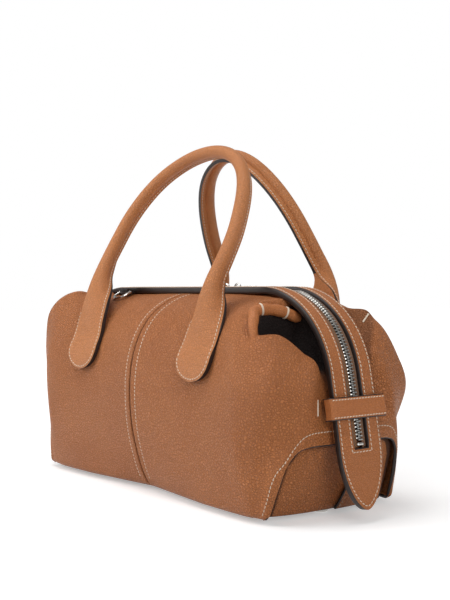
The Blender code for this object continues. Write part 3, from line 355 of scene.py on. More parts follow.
def build(name, points, faces, materials, body=None, face_material=None, sharp=50, uv=None,
          fields=None):
    """A mesh object of points and arrays of faces (each array has faces of one size), raised
    to the stand height, shaded smooth with sharp edges past an angle. Fields are numbers kept
    at its points for the materials to read."""
    arrays = faces if isinstance(faces, list) else [faces]
    points = np.asarray(points, float).reshape(-1, 3) + [0, 0, FOOT_HEIGHT]
    sizes = np.concatenate([np.full(len(a), a.shape[1]) for a in arrays])
    corners = np.concatenate([a.ravel() for a in arrays]).astype(np.int32)
    mesh = bpy.data.meshes.new(name)
    mesh.vertices.add(len(points))
    mesh.vertices.foreach_set("co", points.astype(np.float32).ravel())
    mesh.loops.add(len(corners))
    mesh.loops.foreach_set("vertex_index", corners)
    mesh.polygons.add(len(sizes))
    starts = np.concatenate([[0], np.cumsum(sizes)[:-1]]).astype(np.int32)
    mesh.polygons.foreach_set("loop_start", starts)
    mesh.polygons.foreach_set("loop_total", sizes.astype(np.int32))
    mesh.polygons.foreach_set("use_smooth", np.ones(len(sizes), bool))
    if face_material is not None:
        mesh.polygons.foreach_set("material_index", np.asarray(face_material, np.int32))
    if uv is not None:
        layer = mesh.uv_layers.new(name="along")
        layer.data.foreach_set("uv", np.asarray(uv, np.float32).reshape(-1, 2)[corners].ravel())
    for field, values in (fields or {}).items():
        mesh.attributes.new(field, "FLOAT", "POINT").data.foreach_set("value", values.astype(np.float32))
    mesh.update(calc_edges=True)
    mesh.validate()
    mesh.set_sharp_from_angle(angle=math.radians(sharp))
    for finish in materials if isinstance(materials, (list, tuple)) else [materials]:
        mesh.materials.append(finish)
    obj = bpy.data.objects.new(name, mesh)
    bpy.context.scene.collection.objects.link(obj)
    if body:
        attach(obj, body)
    return obj


def face_normals_at_points(points, quads):
    """Unit normals at the points of a mesh of quads, summed from the faces round each."""
    corners = points[quads]
    normals = np.cross(corners[:, 2] - corners[:, 0], corners[:, 3] - corners[:, 1])
    total = np.zeros_like(points)
    np.add.at(total, quads.ravel(), np.repeat(normals, 4, axis=0))
    return unit(total)


def walled(points, quads, thickness, edge_radius, steps=5):
    """A sheet with a wall and rounded edges. The face is the given one, the back lies the
    thickness below it along the normals, and every open edge gets a half superellipse whose
    outermost line stays on the given edge. Returns points, faces, 1 for each edge face, and
    which given point each point comes from."""
    points = np.asarray(points, float).reshape(-1, 3)
    normals = face_normals_at_points(points, quads)
    radius = np.broadcast_to(edge_radius, len(points))[:, None]
    sides = np.concatenate([quads[:, [0, 1]], quads[:, [1, 2]], quads[:, [2, 3]], quads[:, [3, 0]]])
    key = np.sort(sides, axis=1) @ np.array([len(points), 1])
    _, index, count = np.unique(key, return_inverse=True, return_counts=True)
    rim = sides[count[index.ravel()] == 1]
    out = np.cross(points[rim[:, 1]] - points[rim[:, 0]], normals[rim[:, 0]])
    reach = np.zeros_like(points)
    np.add.at(reach, rim.ravel(), np.repeat(out, 2, axis=0))
    reach -= (reach * normals).sum(1, keepdims=True) * normals
    reach = unit(reach)
    on_rim = np.unique(rim)
    place = np.full(len(points), -1)
    place[on_rim] = np.arange(len(on_rim))
    face = points.copy()
    face[on_rim] -= radius[on_rim] * reach[on_rim]
    back = face - thickness * normals
    turn = np.linspace(0, math.pi, steps + 2)[1:-1]
    edge = points[on_rim][None] - (thickness / 2) * normals[on_rim][None]
    edge = edge + (thickness / 2) * np.cos(turn)[:, None, None] * normals[on_rim][None]
    edge = edge + (np.sin(turn) ** EDGE_POWER - 1)[:, None, None] * (radius * reach)[on_rim][None]
    total = len(points)
    rows = np.concatenate([on_rim[None], 2 * total + np.arange(steps * len(on_rim)).reshape(steps, -1),
                           on_rim[None] + total])
    start, end = place[rim[:, 0]], place[rim[:, 1]]
    wall = np.stack([rows[:-1][:, end], rows[:-1][:, start], rows[1:][:, start], rows[1:][:, end]],
                    axis=-1).reshape(-1, 4)
    faces = np.concatenate([quads, quads[:, ::-1] + total, wall])
    painted = np.zeros(len(faces), int)
    painted[2 * len(quads):] = 1
    source = np.concatenate([np.arange(total), np.arange(total), np.tile(on_rim, steps)])
    return np.concatenate([face, back, edge.reshape(-1, 3)]), faces, painted, source


def tube(path, radius, sides=16, closed=False, up=(0, 0, 1)):
    """A round tube along a path: a circle in the plane across the path at each point, with
    both ends drawn in to a dome of two rings unless the path is closed."""
    path = np.asarray(path, float)
    if closed:
        tangent = unit(np.roll(path, -1, axis=0) - np.roll(path, 1, axis=0))
    else:
        tangent = unit(np.gradient(path, axis=0))
    radius = np.broadcast_to(np.asarray(radius, float), len(path)).copy()
    if not closed:
        first, last = path[0] - tangent[0] * radius[0], path[-1] + tangent[-1] * radius[-1]
        near = path[0] - tangent[0] * radius[0] * 0.7
        far = path[-1] + tangent[-1] * radius[-1] * 0.7
        path = np.concatenate([[first, near], path, [far, last]])
        tangent = np.concatenate([tangent[[0, 0]], tangent, tangent[[-1, -1]]])
        radius = np.concatenate([[radius[0] * 0.05, radius[0] * 0.7], radius,
                                 [radius[-1] * 0.7, radius[-1] * 0.05]])
    across = unit(np.cross(np.asarray(up, float)[None], tangent))
    upward = np.cross(tangent, across)
    turn = np.linspace(0, 2 * math.pi, sides, endpoint=False)
    ring = (np.cos(turn)[None, :, None] * across[:, None]
            + np.sin(turn)[None, :, None] * upward[:, None])
    points = path[:, None] + ring * radius[:, None, None]
    faces = [grid_quads(len(path), sides, close_rows=closed, close_columns=True)[:, ::-1]]
    if not closed:
        caps = np.arange(sides)[None]
        faces.append(caps)
        faces.append(caps[:, ::-1] + (len(path) - 1) * sides)
    return points.reshape(-1, 3), faces


def turned(profile, sides=32):
    """A solid of revolution about Z: the (radius, height) profile, bottom to top, turned round
    and capped at both ends."""
    profile = np.asarray(profile, float)
    turn = np.linspace(0, 2 * math.pi, sides, endpoint=False)
    points = np.stack([profile[:, :1] * np.cos(turn), profile[:, :1] * np.sin(turn),
                       profile[:, 1:] + 0 * turn], axis=-1)
    cap = np.arange(sides)[None]
    faces = [grid_quads(len(profile), sides, close_columns=True)[:, ::-1],
             cap[:, ::-1], cap + (len(profile) - 1) * sides]
    return points.reshape(-1, 3), faces


def joined(parts):
    """Several (points, faces) shapes as one."""
    points, faces, total = [], [], 0
    for shape_points, shape_faces in parts:
        arrays = shape_faces if isinstance(shape_faces, list) else [shape_faces]
        faces += [a + total for a in arrays]
        points.append(np.asarray(shape_points).reshape(-1, 3))
        total += len(points[-1])
    return np.concatenate(points), faces


def stitch_shapes(path, normals, pitch=STITCH_PITCH, length=STITCH_LENGTH):
    """A row of stitches: short six-sided spindles along a path, each turned a little across
    the row, lying on the surface and dipping into it at both ends. Each of a spindle's four
    rings has its place along it, its size and its lift."""
    path, normals = np.asarray(path, float), unit(np.asarray(normals, float))
    length_of_row = np.linalg.norm(np.diff(path, axis=0), axis=1).sum()
    count = max(int(round(length_of_row / pitch)), 1)
    even = resampled(np.column_stack([path, normals]), 2 * count)
    spots, up = even[1::2, :3], unit(even[1::2, 3:])
    tangent = unit(even[2::2, :3] - even[:-1:2, :3])
    across = unit(np.cross(up, tangent))
    along = unit(tangent + STITCH_SLANT * across)
    across = np.cross(up, along)
    rings = np.array([(-0.5, 0.45, -0.55), (-0.33, 1.0, 0.25), (0.33, 1.0, 0.25), (0.5, 0.45, -0.55)])
    turn = np.arange(6) * math.pi / 3
    template = np.zeros((4, 6, 3))
    template[..., 0] = rings[:, :1] * length
    template[..., 1] = rings[:, 1:2] * STITCH_RADIUS * np.cos(turn)
    template[..., 2] = (rings[:, 1:2] * np.sin(turn) + rings[:, 2:]) * STITCH_RADIUS
    template = template.reshape(-1, 3)
    points = (spots[:, None] + template[None, :, :1] * along[:, None]
              + template[None, :, 1:2] * across[:, None] + template[None, :, 2:] * up[:, None])
    quads = grid_quads(4, 6, close_columns=True)
    caps = np.array([[0, 1, 2, 3], [0, 3, 4, 5], [21, 20, 19, 18], [23, 22, 21, 18]])
    quads = np.concatenate([quads[:, ::-1], caps[:, ::-1]])
    faces = (quads[None] + 24 * np.arange(len(spots))[:, None, None]).reshape(-1, 4)
    return points.reshape(-1, 3), faces


def make_leather(name, points, quads, thickness, edge, finish, fields=None, steps=5):
    """A walled sheet with painted edges in place of the node of that name."""
    points, faces, painted, source = walled(points, quads, thickness, edge, steps)
    fields = {key: values.ravel()[source] for key, values in (fields or {}).items()}
    piece = build("leather_" + name, points, faces, [finish, edge_paint()], "bag", painted,
                  fields=fields)
    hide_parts(name)


def make_metal(name, shape, roughness, body="bag", sharp=50):
    """A polished piece in place of the node of that name."""
    piece = build("metal_" + name, *shape, polished_metal(roughness), body, sharp=sharp)
    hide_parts(name)


def make_thread(name, shapes, body="bag"):
    """One piece of thread out of several (points, faces) shapes."""
    piece = build(name, *joined(shapes), thread(), body)
    return piece


def stitching(name, rows, body="bag", **size):
    """Stitches along several (path, normals) rows as one piece."""
    return make_thread(name, [stitch_shapes(*row, **size) for row in rows], body)


# Materials


def nodes_of(name):
    """A new material with its node tree, its shader and its object coordinates."""
    made = bpy.data.materials.new(name)
    made.use_nodes = True
    tree = made.node_tree
    return made, tree, tree.nodes["Principled BSDF"], tree.nodes.new("ShaderNodeTexCoord")


def texture(tree, kind, vector, **values):
    """A texture node on given coordinates; values name its inputs or its settings."""
    node = tree.nodes.new("ShaderNodeTex" + kind)
    for key, value in values.items():
        if key[0].isupper():
            node.inputs[key.replace("_", " ")].default_value = value
        else:
            setattr(node, key, value)
    tree.links.new(vector, node.inputs["Vector"])
    return node


def plug(tree, slot, value):
    """Sets one input to a number, a vector or a colour, or links another node's output in."""
    if isinstance(value, (int, float)):
        slot.default_value = value
    elif isinstance(value, tuple):
        slot.default_value = (*value, 1)[:len(slot.default_value)]
    else:
        tree.links.new(value, slot)


def feed(tree, inputs, **values):
    """Plugs values into the inputs of those names."""
    for key, value in values.items():
        plug(tree, inputs[key.replace("_", " ")], value)


def operation_node(tree, kind, operation, values):
    """A math node of either kind, with its inputs filled in order."""
    node = tree.nodes.new(kind)
    node.operation = operation
    for slot, value in zip(node.inputs, values):
        plug(tree, slot, value)
    return node.outputs


def math_node(tree, operation, *values):
    """One operation on numbers."""
    return operation_node(tree, "ShaderNodeMath", operation, values)[0]


def vector_node(tree, operation, *values):
    """One operation on vectors."""
    return operation_node(tree, "ShaderNodeVectorMath", operation, values)


def ramp_node(tree, value, low, high, to_low=0.0, to_high=1.0):
    """A smooth ramp of a value from one range to another."""
    node = tree.nodes.new("ShaderNodeMapRange")
    node.interpolation_type = "SMOOTHSTEP"
    feed(tree, node.inputs, Value=value, From_Min=low, From_Max=high, To_Min=to_low, To_Max=to_high)
    return node.outputs["Result"]


def mix_colors(tree, factor, first, second):
    """A colour between two. Inputs 6 and 7 are a mix node's colours, and 0 its factor."""
    node = tree.nodes.new("ShaderNodeMix")
    node.data_type = "RGBA"
    for place, value in ((0, factor), (6, first), (7, second)):
        plug(tree, node.inputs[place], value)
    return node.outputs[2]


def bump_node(tree, height, distance, strength=1.0):
    """The normal over a relief: the height, times a distance."""
    node = tree.nodes.new("ShaderNodeBump")
    feed(tree, node.inputs, Strength=strength, Distance=distance, Height=height)
    return node.outputs["Normal"]


def remembered(maker):
    """Each material is made once, however many pieces use it."""
    made = {}

    def give(*key):
        if key not in made:
            made[key] = maker(*key)
        return made[key]

    return give


TAN = (0.490, 0.160, 0.0425)
# Colour of the painted shade in the grain's grooves.
GROOVE_SHADE = (0.160, 0.042, 0.011)
TAN_LIGHT = (0.680, 0.262, 0.088)
FOLD_SHADE = (0.010, 0.004, 0.003)
WRINKLE_RATES = (620.0, 130.0, 0.0)


def field_value(tree, name):
    """A field kept at a piece's points, or 0 where it has none."""
    node = tree.nodes.new("ShaderNodeAttribute")
    node.attribute_name = name
    return node.outputs["Fac"]


@remembered
def grained_leather(cell, relief, rolled=False):
    """Tumbled cowhide: rounded cells between fine grooves, creases over them, and a tan with
    painted shade in the grooves, lighter on the tops partly from wear and partly as painted
    highlight, and painted shade near black where the field called fold is set. On a rolled
    piece fine wrinkles run across its length."""
    made, tree, shader, coordinates = nodes_of("rolled_leather" if rolled else "tumbled_leather")
    position = coordinates.outputs["Object"]
    drift = texture(tree, "Noise", position, Scale=0.45 / cell, Detail=2.0)
    shifted = vector_node(tree, "MULTIPLY_ADD", drift.outputs["Color"], (cell * 1.1,) * 3, position)[0]
    cells = texture(tree, "Voronoi", shifted, feature="DISTANCE_TO_EDGE", Scale=1 / cell)
    small = texture(tree, "Voronoi", shifted, feature="DISTANCE_TO_EDGE", Scale=2.3 / cell)
    creases = texture(tree, "Noise", position, Scale=0.22 / cell, Detail=3.0, Distortion=0.6)
    pores = texture(tree, "Noise", position, Scale=5.5 / cell, Detail=2.0)
    tops = ramp_node(tree, cells.outputs["Distance"], 0.0, 0.24)
    small_tops = ramp_node(tree, small.outputs["Distance"], 0.0, 0.3)
    height = math_node(tree, "MULTIPLY_ADD", small_tops, 0.28, tops)
    wrinkled = math_node(tree, "MULTIPLY_ADD", field_value(tree, "wrinkle"), 3.2, 1.0)
    height = math_node(tree, "MULTIPLY_ADD", creases.outputs["Fac"], wrinkled, height)
    height = math_node(tree, "MULTIPLY_ADD", pores.outputs["Fac"], 0.12, height)
    if rolled:
        across = vector_node(tree, "MULTIPLY", coordinates.outputs["UV"], WRINKLE_RATES)[0]
        wrinkles = texture(tree, "Noise", across, Scale=1.0, Detail=2.0, Distortion=0.4)
        height = math_node(tree, "MULTIPLY_ADD", wrinkles.outputs["Fac"], 2.6, height)
    patches = texture(tree, "Noise", position, Scale=16.0, Detail=3.0, Roughness=0.6)
    tone = mix_colors(tree, ramp_node(tree, patches.outputs["Fac"], 0.3, 0.7), TAN, TAN_LIGHT)
    if rolled:
        base = mix_colors(tree, 0.8, tone, TAN_LIGHT)
    else:
        base = mix_colors(tree, 0.28, TAN, tone)
    # The tops of the cells are lighter: partly wear, partly painted highlight.
    worn_and_highlit_tops = mix_colors(tree, math_node(tree, "MULTIPLY", tops, 0.12), base, TAN_LIGHT)
    # Painted shade: the tan goes darker in the grooves between the cells.
    groove = math_node(tree, "SUBTRACT", 1.0, tops)
    deep = mix_colors(tree, math_node(tree, "MULTIPLY", groove, 0.30), worn_and_highlit_tops, GROOVE_SHADE)
    # Painted shade: the field called fold darkens the tan to near black in the fold's pit, the centre
    # seam's groove and along the leaves' rims.
    painted_shade_mixed = mix_colors(tree, field_value(tree, "fold"), deep, FOLD_SHADE)
    rough = math_node(tree, "MULTIPLY_ADD", groove, 0.18, 0.26 if rolled else 0.34)
    rough = math_node(tree, "MULTIPLY_ADD", field_value(tree, "fold"), 0.4, rough)
    rough = math_node(tree, "MULTIPLY_ADD", pores.outputs["Fac"], 0.08, rough)
    feed(tree, shader.inputs, Base_Color=painted_shade_mixed, Roughness=rough, Specular_IOR_Level=0.40,
         Normal=bump_node(tree, height, relief))
    return made


def body_leather():
    """The coarsest grain, on the panels, leaves and bottom."""
    return grained_leather(1.9 * MM, 0.66 * MM)


def strap_leather():
    """A finer grain, on the zip strap."""
    return grained_leather(1.45 * MM, 0.33 * MM)


def handle_leather():
    """A fine grain with wrinkles, lighter, on the handles."""
    return grained_leather(1.45 * MM, 0.34 * MM, True)


def smooth_leather():
    """Nearly smooth, on the keepers and the fold's edge."""
    return grained_leather(1.2 * MM, 0.16 * MM)


@remembered
def edge_paint():
    """Dark brown paint on cut edges: a soft gloss with a little unevenness."""
    made, tree, shader, coordinates = nodes_of("painted_edge")
    waves = texture(tree, "Noise", coordinates.outputs["Object"], Scale=420.0, Detail=3.0)
    color = mix_colors(tree, waves.outputs["Fac"], (0.010, 0.006, 0.005), (0.024, 0.012, 0.009))
    rough = math_node(tree, "MULTIPLY_ADD", waves.outputs["Fac"], 0.2, 0.36)
    feed(tree, shader.inputs, Base_Color=color, Roughness=rough,
         Normal=bump_node(tree, waves.outputs["Fac"], 0.15 * MM, 0.6))
    return made


@remembered
def thread():
    """Waxed ecru thread with a fine twist."""
    made, tree, shader, coordinates = nodes_of("ecru_thread")
    position = coordinates.outputs["Object"]
    twist = texture(tree, "Wave", position, Scale=900.0, Distortion=2.0, bands_direction="DIAGONAL")
    color = mix_colors(tree, twist.outputs["Fac"], (0.66, 0.52, 0.39), (0.88, 0.77, 0.63))
    feed(tree, shader.inputs, Base_Color=color, Roughness=0.62,
         Normal=bump_node(tree, twist.outputs["Fac"], 0.08 * MM, 0.7))
    return made


@remembered
def polished_metal(roughness):
    """Silver plate with faint hairlines and dulled patches."""
    made, tree, shader, coordinates = nodes_of("silver_plate")
    position = coordinates.outputs["Object"]
    patches = texture(tree, "Noise", position, Scale=240.0, Detail=4.0)
    lines = texture(tree, "Noise", position, Scale=2600.0, Detail=2.0, Distortion=1.2)
    color = mix_colors(tree, patches.outputs["Fac"], (0.60, 0.585, 0.55), (0.80, 0.785, 0.75))
    rough = math_node(tree, "MULTIPLY_ADD", patches.outputs["Fac"], 0.16, roughness)
    feed(tree, shader.inputs, Base_Color=color, Metallic=1.0, Roughness=rough,
         Normal=bump_node(tree, lines.outputs["Fac"], 0.02 * MM, 0.35))
    return made


TAPE_TAN = (0.33, 0.155, 0.07)
TAPE_PITCH = 0.55 * MM


@remembered
def woven_tape():
    """Herringbone tape: two crossing waves on the piece's own length and width."""
    made, tree, shader, coordinates = nodes_of("woven_tape")
    place = coordinates.outputs["UV"]
    warp = texture(tree, "Wave", place, Scale=0.16 / TAPE_PITCH, bands_direction="DIAGONAL",
                   Distortion=0.4)
    weft = texture(tree, "Wave", place, Scale=0.32 / TAPE_PITCH, bands_direction="Y", Distortion=0.2)
    weave = math_node(tree, "MULTIPLY", warp.outputs["Fac"], weft.outputs["Fac"])
    dark = tuple(channel * 0.55 for channel in TAPE_TAN)
    feed(tree, shader.inputs, Base_Color=mix_colors(tree, weave, dark, TAPE_TAN), Roughness=0.88,
         Sheen_Weight=0.15, Normal=bump_node(tree, weave, 0.25 * MM, 0.8))
    return made


@remembered
def plain_cloth(name, color, pitch):
    """Plain weave on object coordinates: three crossed waves."""
    made, tree, shader, coordinates = nodes_of(name)
    position = coordinates.outputs["Object"]
    bands = [texture(tree, "Wave", position, Scale=0.3 / pitch, bands_direction=axis, Distortion=0.5)
             for axis in "XYZ"]
    weave = math_node(tree, "MULTIPLY", bands[0].outputs["Fac"], bands[1].outputs["Fac"])
    weave = math_node(tree, "MULTIPLY_ADD", bands[2].outputs["Fac"], 0.5, weave)
    dark = tuple(channel * 0.6 for channel in color)
    feed(tree, shader.inputs, Base_Color=mix_colors(tree, weave, dark, color), Roughness=0.9,
         Normal=bump_node(tree, weave, 0.2 * MM, 0.6))
    return made


def lining_cloth():
    """A close brown weave inside the bag."""
    return plain_cloth("lining_weave", (0.30, 0.22, 0.15), 0.6 * MM)


def stiff_board():
    """The coarse fibre of the board on the bottom."""
    return plain_cloth("board_fibre", (0.25, 0.20, 0.15), 2.0 * MM)


# Body panels


def quarter_parameters():
    """Columns close together by the centre seam and at the folds, and rows all the way up."""
    seam = np.array([0, 0.006, 0.012, 0.02, 0.03, 0.045, 0.06, 0.072, 0.085, 0.11, 0.15])
    rest = np.linspace(0.2, 8, 132)
    rows = np.concatenate([np.linspace(0, 0.25, 8)[:-1], np.linspace(0.25, 8, 92)])
    return np.concatenate([seam, rest]), rows


def panel_detail(points, side_x):
    """How far the face stands out from the smooth one: a groove at the centre seam with the
    leather puffed beside it, a slight channel under each stitch row, and slow waves over the
    whole face."""
    x = np.abs(points[..., 0])
    groove = -SEAM_GROOVE * swelling(x, 0, SEAM_GROOVE_WIDTH)
    puff = PUFF_HEIGHT * swelling(x, PUFF_PLACE, PUFF_WIDTH)
    channel = -CHANNEL_DEPTH * swelling(x, SEAM_STITCH, CHANNEL_WIDTH)
    phase = points * WAVE_RATES
    waves = np.sin(phase[..., 0] + 1.7 * side_x) * np.sin(phase[..., 2] + phase[..., 1])
    return groove + puff + channel + WAVE_HEIGHT * waves * smoothstep(0, WAVE_START, x)


def strap_lip(points):
    """How far the full left end stands up beside the strap: a ridge just outside its edge that
    comes from nothing and goes to nothing along the bag."""
    x, y = np.abs(points[..., 0]), np.abs(points[..., 1])
    return LIP_HEIGHT * between(y, LIP_ACROSS) * between(x, LIP_ALONG)


def quarter_points(corner):
    """A quarter's finished face, mirrored to its side, with its unit normals outwards."""
    columns, rows = quarter_parameters()
    points = quarter_surface(corner, columns, rows)
    normals = -grid_normals(points)
    points = points + normals * panel_detail(points, corner[0])[..., None]
    if corner[0] < 0:
        points[..., 2] += strap_lip(points)
    roll = np.clip(1 - points[..., 2] / FOOT_ROLL, 0, 1)
    inset = FOOT_ROLL * (1 - np.sqrt(1 - roll ** 2))
    flat = unit(normals * [1, 1, 0])
    points = points - flat * inset[..., None]
    mirror = np.array([corner[0], corner[1], 1])
    return points * mirror, normals * mirror


QUARTERS = {corner: quarter_points(corner) for corner in FULLNESS_SHARES}
CORNER_NAMES = {(-1, -1): "front_panel_left", (1, -1): "front_panel_right",
                (-1, 1): "rear_panel_left", (1, 1): "rear_panel_right"}
# How strong the painted shade in the pit of each quarter's fold is.
FOLD_SHADE_STRENGTHS = {(-1, -1): 0.0, (1, -1): 1.0, (-1, 1): 0.0, (1, 1): 0.4}


def painted_shade_and_wrinkle_fields(corner):
    """How much painted shade a place gets, in the pit of the fold beside the strap and in the
    centre seam's groove, and how wrinkled it is, on the quarter's own grid: ramps over its columns and
    rows."""
    columns, rows = np.meshgrid(*quarter_parameters(), indexing="ij")
    depth = FOLD_SHADE_STRENGTHS[corner]
    # fold is painted shade in the pit of the fold, seam is painted shade in the centre seam's groove.
    fold = between(columns, FOLD_COLUMNS) * smoothstep(*FOLD_ROWS, rows)
    crest = between(columns, CREST_COLUMNS) * smoothstep(*CREST_ROWS, rows)
    seam = 1 - smoothstep(*SEAM_COLUMNS, columns)
    return {"fold": np.maximum(fold * depth, seam), "wrinkle": crest * (1.0 if depth else 0.4)}


def make_panels():
    """The four leather quarters, each on its own grid, turned so that its faces point out."""
    for corner, name in CORNER_NAMES.items():
        points = QUARTERS[corner][0]
        quads = grid_quads(*points.shape[:2])
        if corner[0] * corner[1] > 0:
            quads = quads[:, ::-1]
        make_leather(name, points, quads, LEATHER, PANEL_EDGE, body_leather(), painted_shade_and_wrinkle_fields(corner))


def panel_tree(corner):
    """A quarter's face in a form that rays can be cast at."""
    points = QUARTERS[corner][0]
    return BVHTree.FromPolygons(points.reshape(-1, 3).tolist(), grid_quads(*points.shape[:2]).tolist())


PANEL_TREES = {corner: panel_tree(corner) for corner in FULLNESS_SHARES}


def panel_face_y(side_y, x, z):
    """Distance of the outer face from the middle plane at places on one side."""
    found = []
    for spot_x, spot_z in np.broadcast(x, z):
        tree = PANEL_TREES[(1 if spot_x > 0 else -1, side_y)]
        start = Vector((spot_x, side_y * BELLY_DEPTH, spot_z))
        found.append(abs(tree.ray_cast(start, Vector((0, -side_y, 0)))[0].y))
    return np.array(found).reshape(np.broadcast(x, z).shape)


def make_seam_stitching():
    """Rows beside both centre seams, from the foot to just short of the strap."""
    rows = []
    for corner, (points, normals) in QUARTERS.items():
        x = np.abs(points[:, :, 0])
        column = np.argmin(np.abs(x - SEAM_STITCH), axis=0)
        place = np.arange(points.shape[1])
        path, up = points[column, place].copy(), normals[column, place]
        path[:, 0] = corner[0] * SEAM_STITCH
        rows.append((path[SEAM_STITCH_ROWS], up[SEAM_STITCH_ROWS]))
    stitching("stitching_centre_seams", rows)


def offset_from_rim(points, distance):
    """The line on a grid that lies a distance in from its last column, row by row."""
    steps = np.linalg.norm(np.diff(points[::-1], axis=0), axis=2)
    length = np.concatenate([np.zeros((1, points.shape[1])), np.cumsum(steps, axis=0)])
    past = (length < distance).sum(axis=0)
    row = np.arange(points.shape[1])
    low, high = length[past - 1, row], length[past, row]
    share = ((distance - low) / (high - low))[:, None]
    flipped = points[::-1]
    return flipped[past - 1, row] * (1 - share) + flipped[past, row] * share


def make_bell_stitching():
    """Rows round the cut-outs at the foot of each end, up to the keeper."""
    rows = []
    for points, normals in QUARTERS.values():
        path = offset_from_rim(points, BELL_STITCH)
        up = offset_from_rim(points + normals * NORMAL_REACH, BELL_STITCH) - path
        keep = (path[:, 2] > BELL_STITCH_FOOT) & (np.abs(path[:, 1]) > BELL_STITCH_TOP_Y)
        keep &= np.arange(len(path)) < BELL_STITCH_ROWS
        rows.append((path[keep], up[keep]))
    stitching("stitching_end_overlays", rows)


# Rolled fold beside the strap at the sagging end, and thread tacks

CAMERA_SPOT = np.array([635.8, -476.6, 152.6]) * MM
CAMERA_AIM = np.array([-0.788, 0.6157, 0.0])
CAMERA_RIGHT = np.array([0.6157, 0.788, 0.0])
FOCAL_PIXELS = 1000.0
CENTRE_PIXEL = (225.0, 290.0)
PICTURE_HEIGHT = 600.0
FOLD_ROUTE = np.array([(130.2, -56.6, 114.5), (125.5, -54.2, 125.0), (121.1, -50.1, 131.0),
                       (117.8, -46.3, 135.0), (118.8, -40.0, 136.4), (121.2, -31.5, 136.0),
                       (123.6, -23.0, 133.8), (125.2, -15.0, 130.5)]) * MM
FOLD_RADII = np.array([1.6, 3.2, 3.7, 4.0, 4.1, 4.0, 3.9, 3.6]) * MM
WRAP_SPANS = (3.75, 5.9)
WRAP_SPACING = 0.35 * MM
WRAP_RISE = 0.1 * MM
FOLD_UNEVEN_SHARE = 0.05
TACK_PIXELS = {(1, -1): ((317.7, 400.5), (317.7, 416.0)), (1, 1): ((368.5, 314.0), (363.0, 322.0))}
TACK_HALF = 4.5 * MM
TACK_OUTSIDE = 5.5 * MM
TACK_SPACING = 0.3 * MM
TACK_RISE = 0.2 * MM


def on_panel(corner, pixels):
    """Places on a quarter's face, and its normals there, behind places in the picture."""
    spots, normals = [], []
    eye = Vector(CAMERA_SPOT - [0, 0, FOOT_HEIGHT])
    for u, v in pixels:
        sideways = CAMERA_RIGHT * (u - CENTRE_PIXEL[0]) / FOCAL_PIXELS
        upward = np.array([0, 0, 1.0]) * (CENTRE_PIXEL[1] - v) / FOCAL_PIXELS
        ray = Vector(CAMERA_AIM + sideways + upward)
        spot, normal = PANEL_TREES[corner].ray_cast(eye, ray)[:2]
        if spot is not None:
            spots.append(spot)
            normals.append(normal if normal.dot(ray) < 0 else -normal)
    return np.array(spots), np.array(normals)


def make_fold():
    """The rolled edge of the fold: a leather roll along its route, thin where it runs out into
    the panel, with a thread wrapped twice round it at two places."""
    spans = np.linspace(0, len(FOLD_ROUTE) - 1, 90)
    path, radius = spline_at(FOLD_ROUTE, spans), spline_at(FOLD_RADII[:, None], spans)[:, 0]
    radius = radius * (1 + FOLD_UNEVEN_SHARE * np.sin(spans * 5))
    roll = build("leather_fold_roll_right", *tube(path, radius, 28), smooth_leather(), "bag")
    wraps = []
    for span in WRAP_SPANS:
        centre, ahead = spline_at(FOLD_ROUTE, [span, span + 0.05])
        along = unit(ahead - centre)
        across = unit(np.cross([0, 0, 1.0], along))
        upward = np.cross(along, across)
        size = np.interp(span, np.arange(len(FOLD_RADII)), FOLD_RADII) + WRAP_RISE
        turn = np.linspace(0, 2 * math.pi, 40, endpoint=False)
        for shift in (-WRAP_SPACING, WRAP_SPACING):
            ring = (centre + along * shift + np.outer(np.cos(turn), across) * size
                    + np.outer(np.sin(turn), upward) * size)
            wraps.append(tube(ring, THREAD_RADIUS, 8, closed=True, up=along))
    make_thread("thread_fold_wraps", wraps)


def make_tacks():
    """Bar tacks of thread by the keepers and on the far fold: two strands side by side, at the
    same places on both ends where the panels are alike."""
    strands = []
    for corner, (start, end) in TACK_PIXELS.items():
        spots, normals = on_panel(corner, np.linspace(start, end, 9))
        for shift in (-TACK_SPACING, TACK_SPACING):
            sideways = unit(np.cross(np.gradient(spots, axis=0), normals)) * shift
            strands.append(tube(spots + normals * TACK_RISE + sideways, THREAD_RADIUS, 8))
    height = np.linspace(KEEPER_Z - TACK_HALF, KEEPER_Z + TACK_HALF, 9)
    for corner, tree in PANEL_TREES.items():
        if corner == (1, -1):
            continue
        y = corner[1] * (KEEPER_HALF_WIDTH + TACK_OUTSIDE)
        inwards = Vector((-corner[0], 0, 0))
        hits = [tree.ray_cast(Vector((corner[0] * BELLY_LENGTH, y, z)), inwards)[0].x for z in height]
        x = np.array(hits) + corner[0] * TACK_RISE
        for shift in (-TACK_SPACING, TACK_SPACING):
            path = np.column_stack([x, 0 * height + y + shift, height])
            strands.append(tube(path, THREAD_RADIUS, 8, up=(0, 1, 0)))
    make_thread("thread_bar_tacks", strands)


# End leaves and bottom


def leaf_face_x(y, z, layer):
    """How far out a leaf lies: behind the end face by the leather, a layer for each leaf over
    it, and more towards the corners."""
    draw = LEAF_CORNER_DRAW * np.abs(y / BELL_HALF_WIDTH) ** LEAF_CORNER_POWER
    return end_face_x(y, z) - LEATHER - 2 * GAP - layer * (LEAF_THICKNESS + 3 * GAP) - draw


def bell_y(z):
    """Half the width of the cut-out at a height."""
    return np.interp(z, BELL_RIM[:, 1], BELL_RIM[:, 0])


def leaf_edge(z):
    """Where a leaf ends at the side: tucked behind the cut-out's rim, clear of the corner."""
    return np.minimum(bell_y(z) + LEAF_TUCK, BELL_HALF_WIDTH - LEAF_INSET)


def lap_edge(z):
    """The slanting edge of the leaf on top."""
    return LAP_FOOT_Y + (LAP_TOP_Y - LAP_FOOT_Y) * z / BELL_HEIGHT


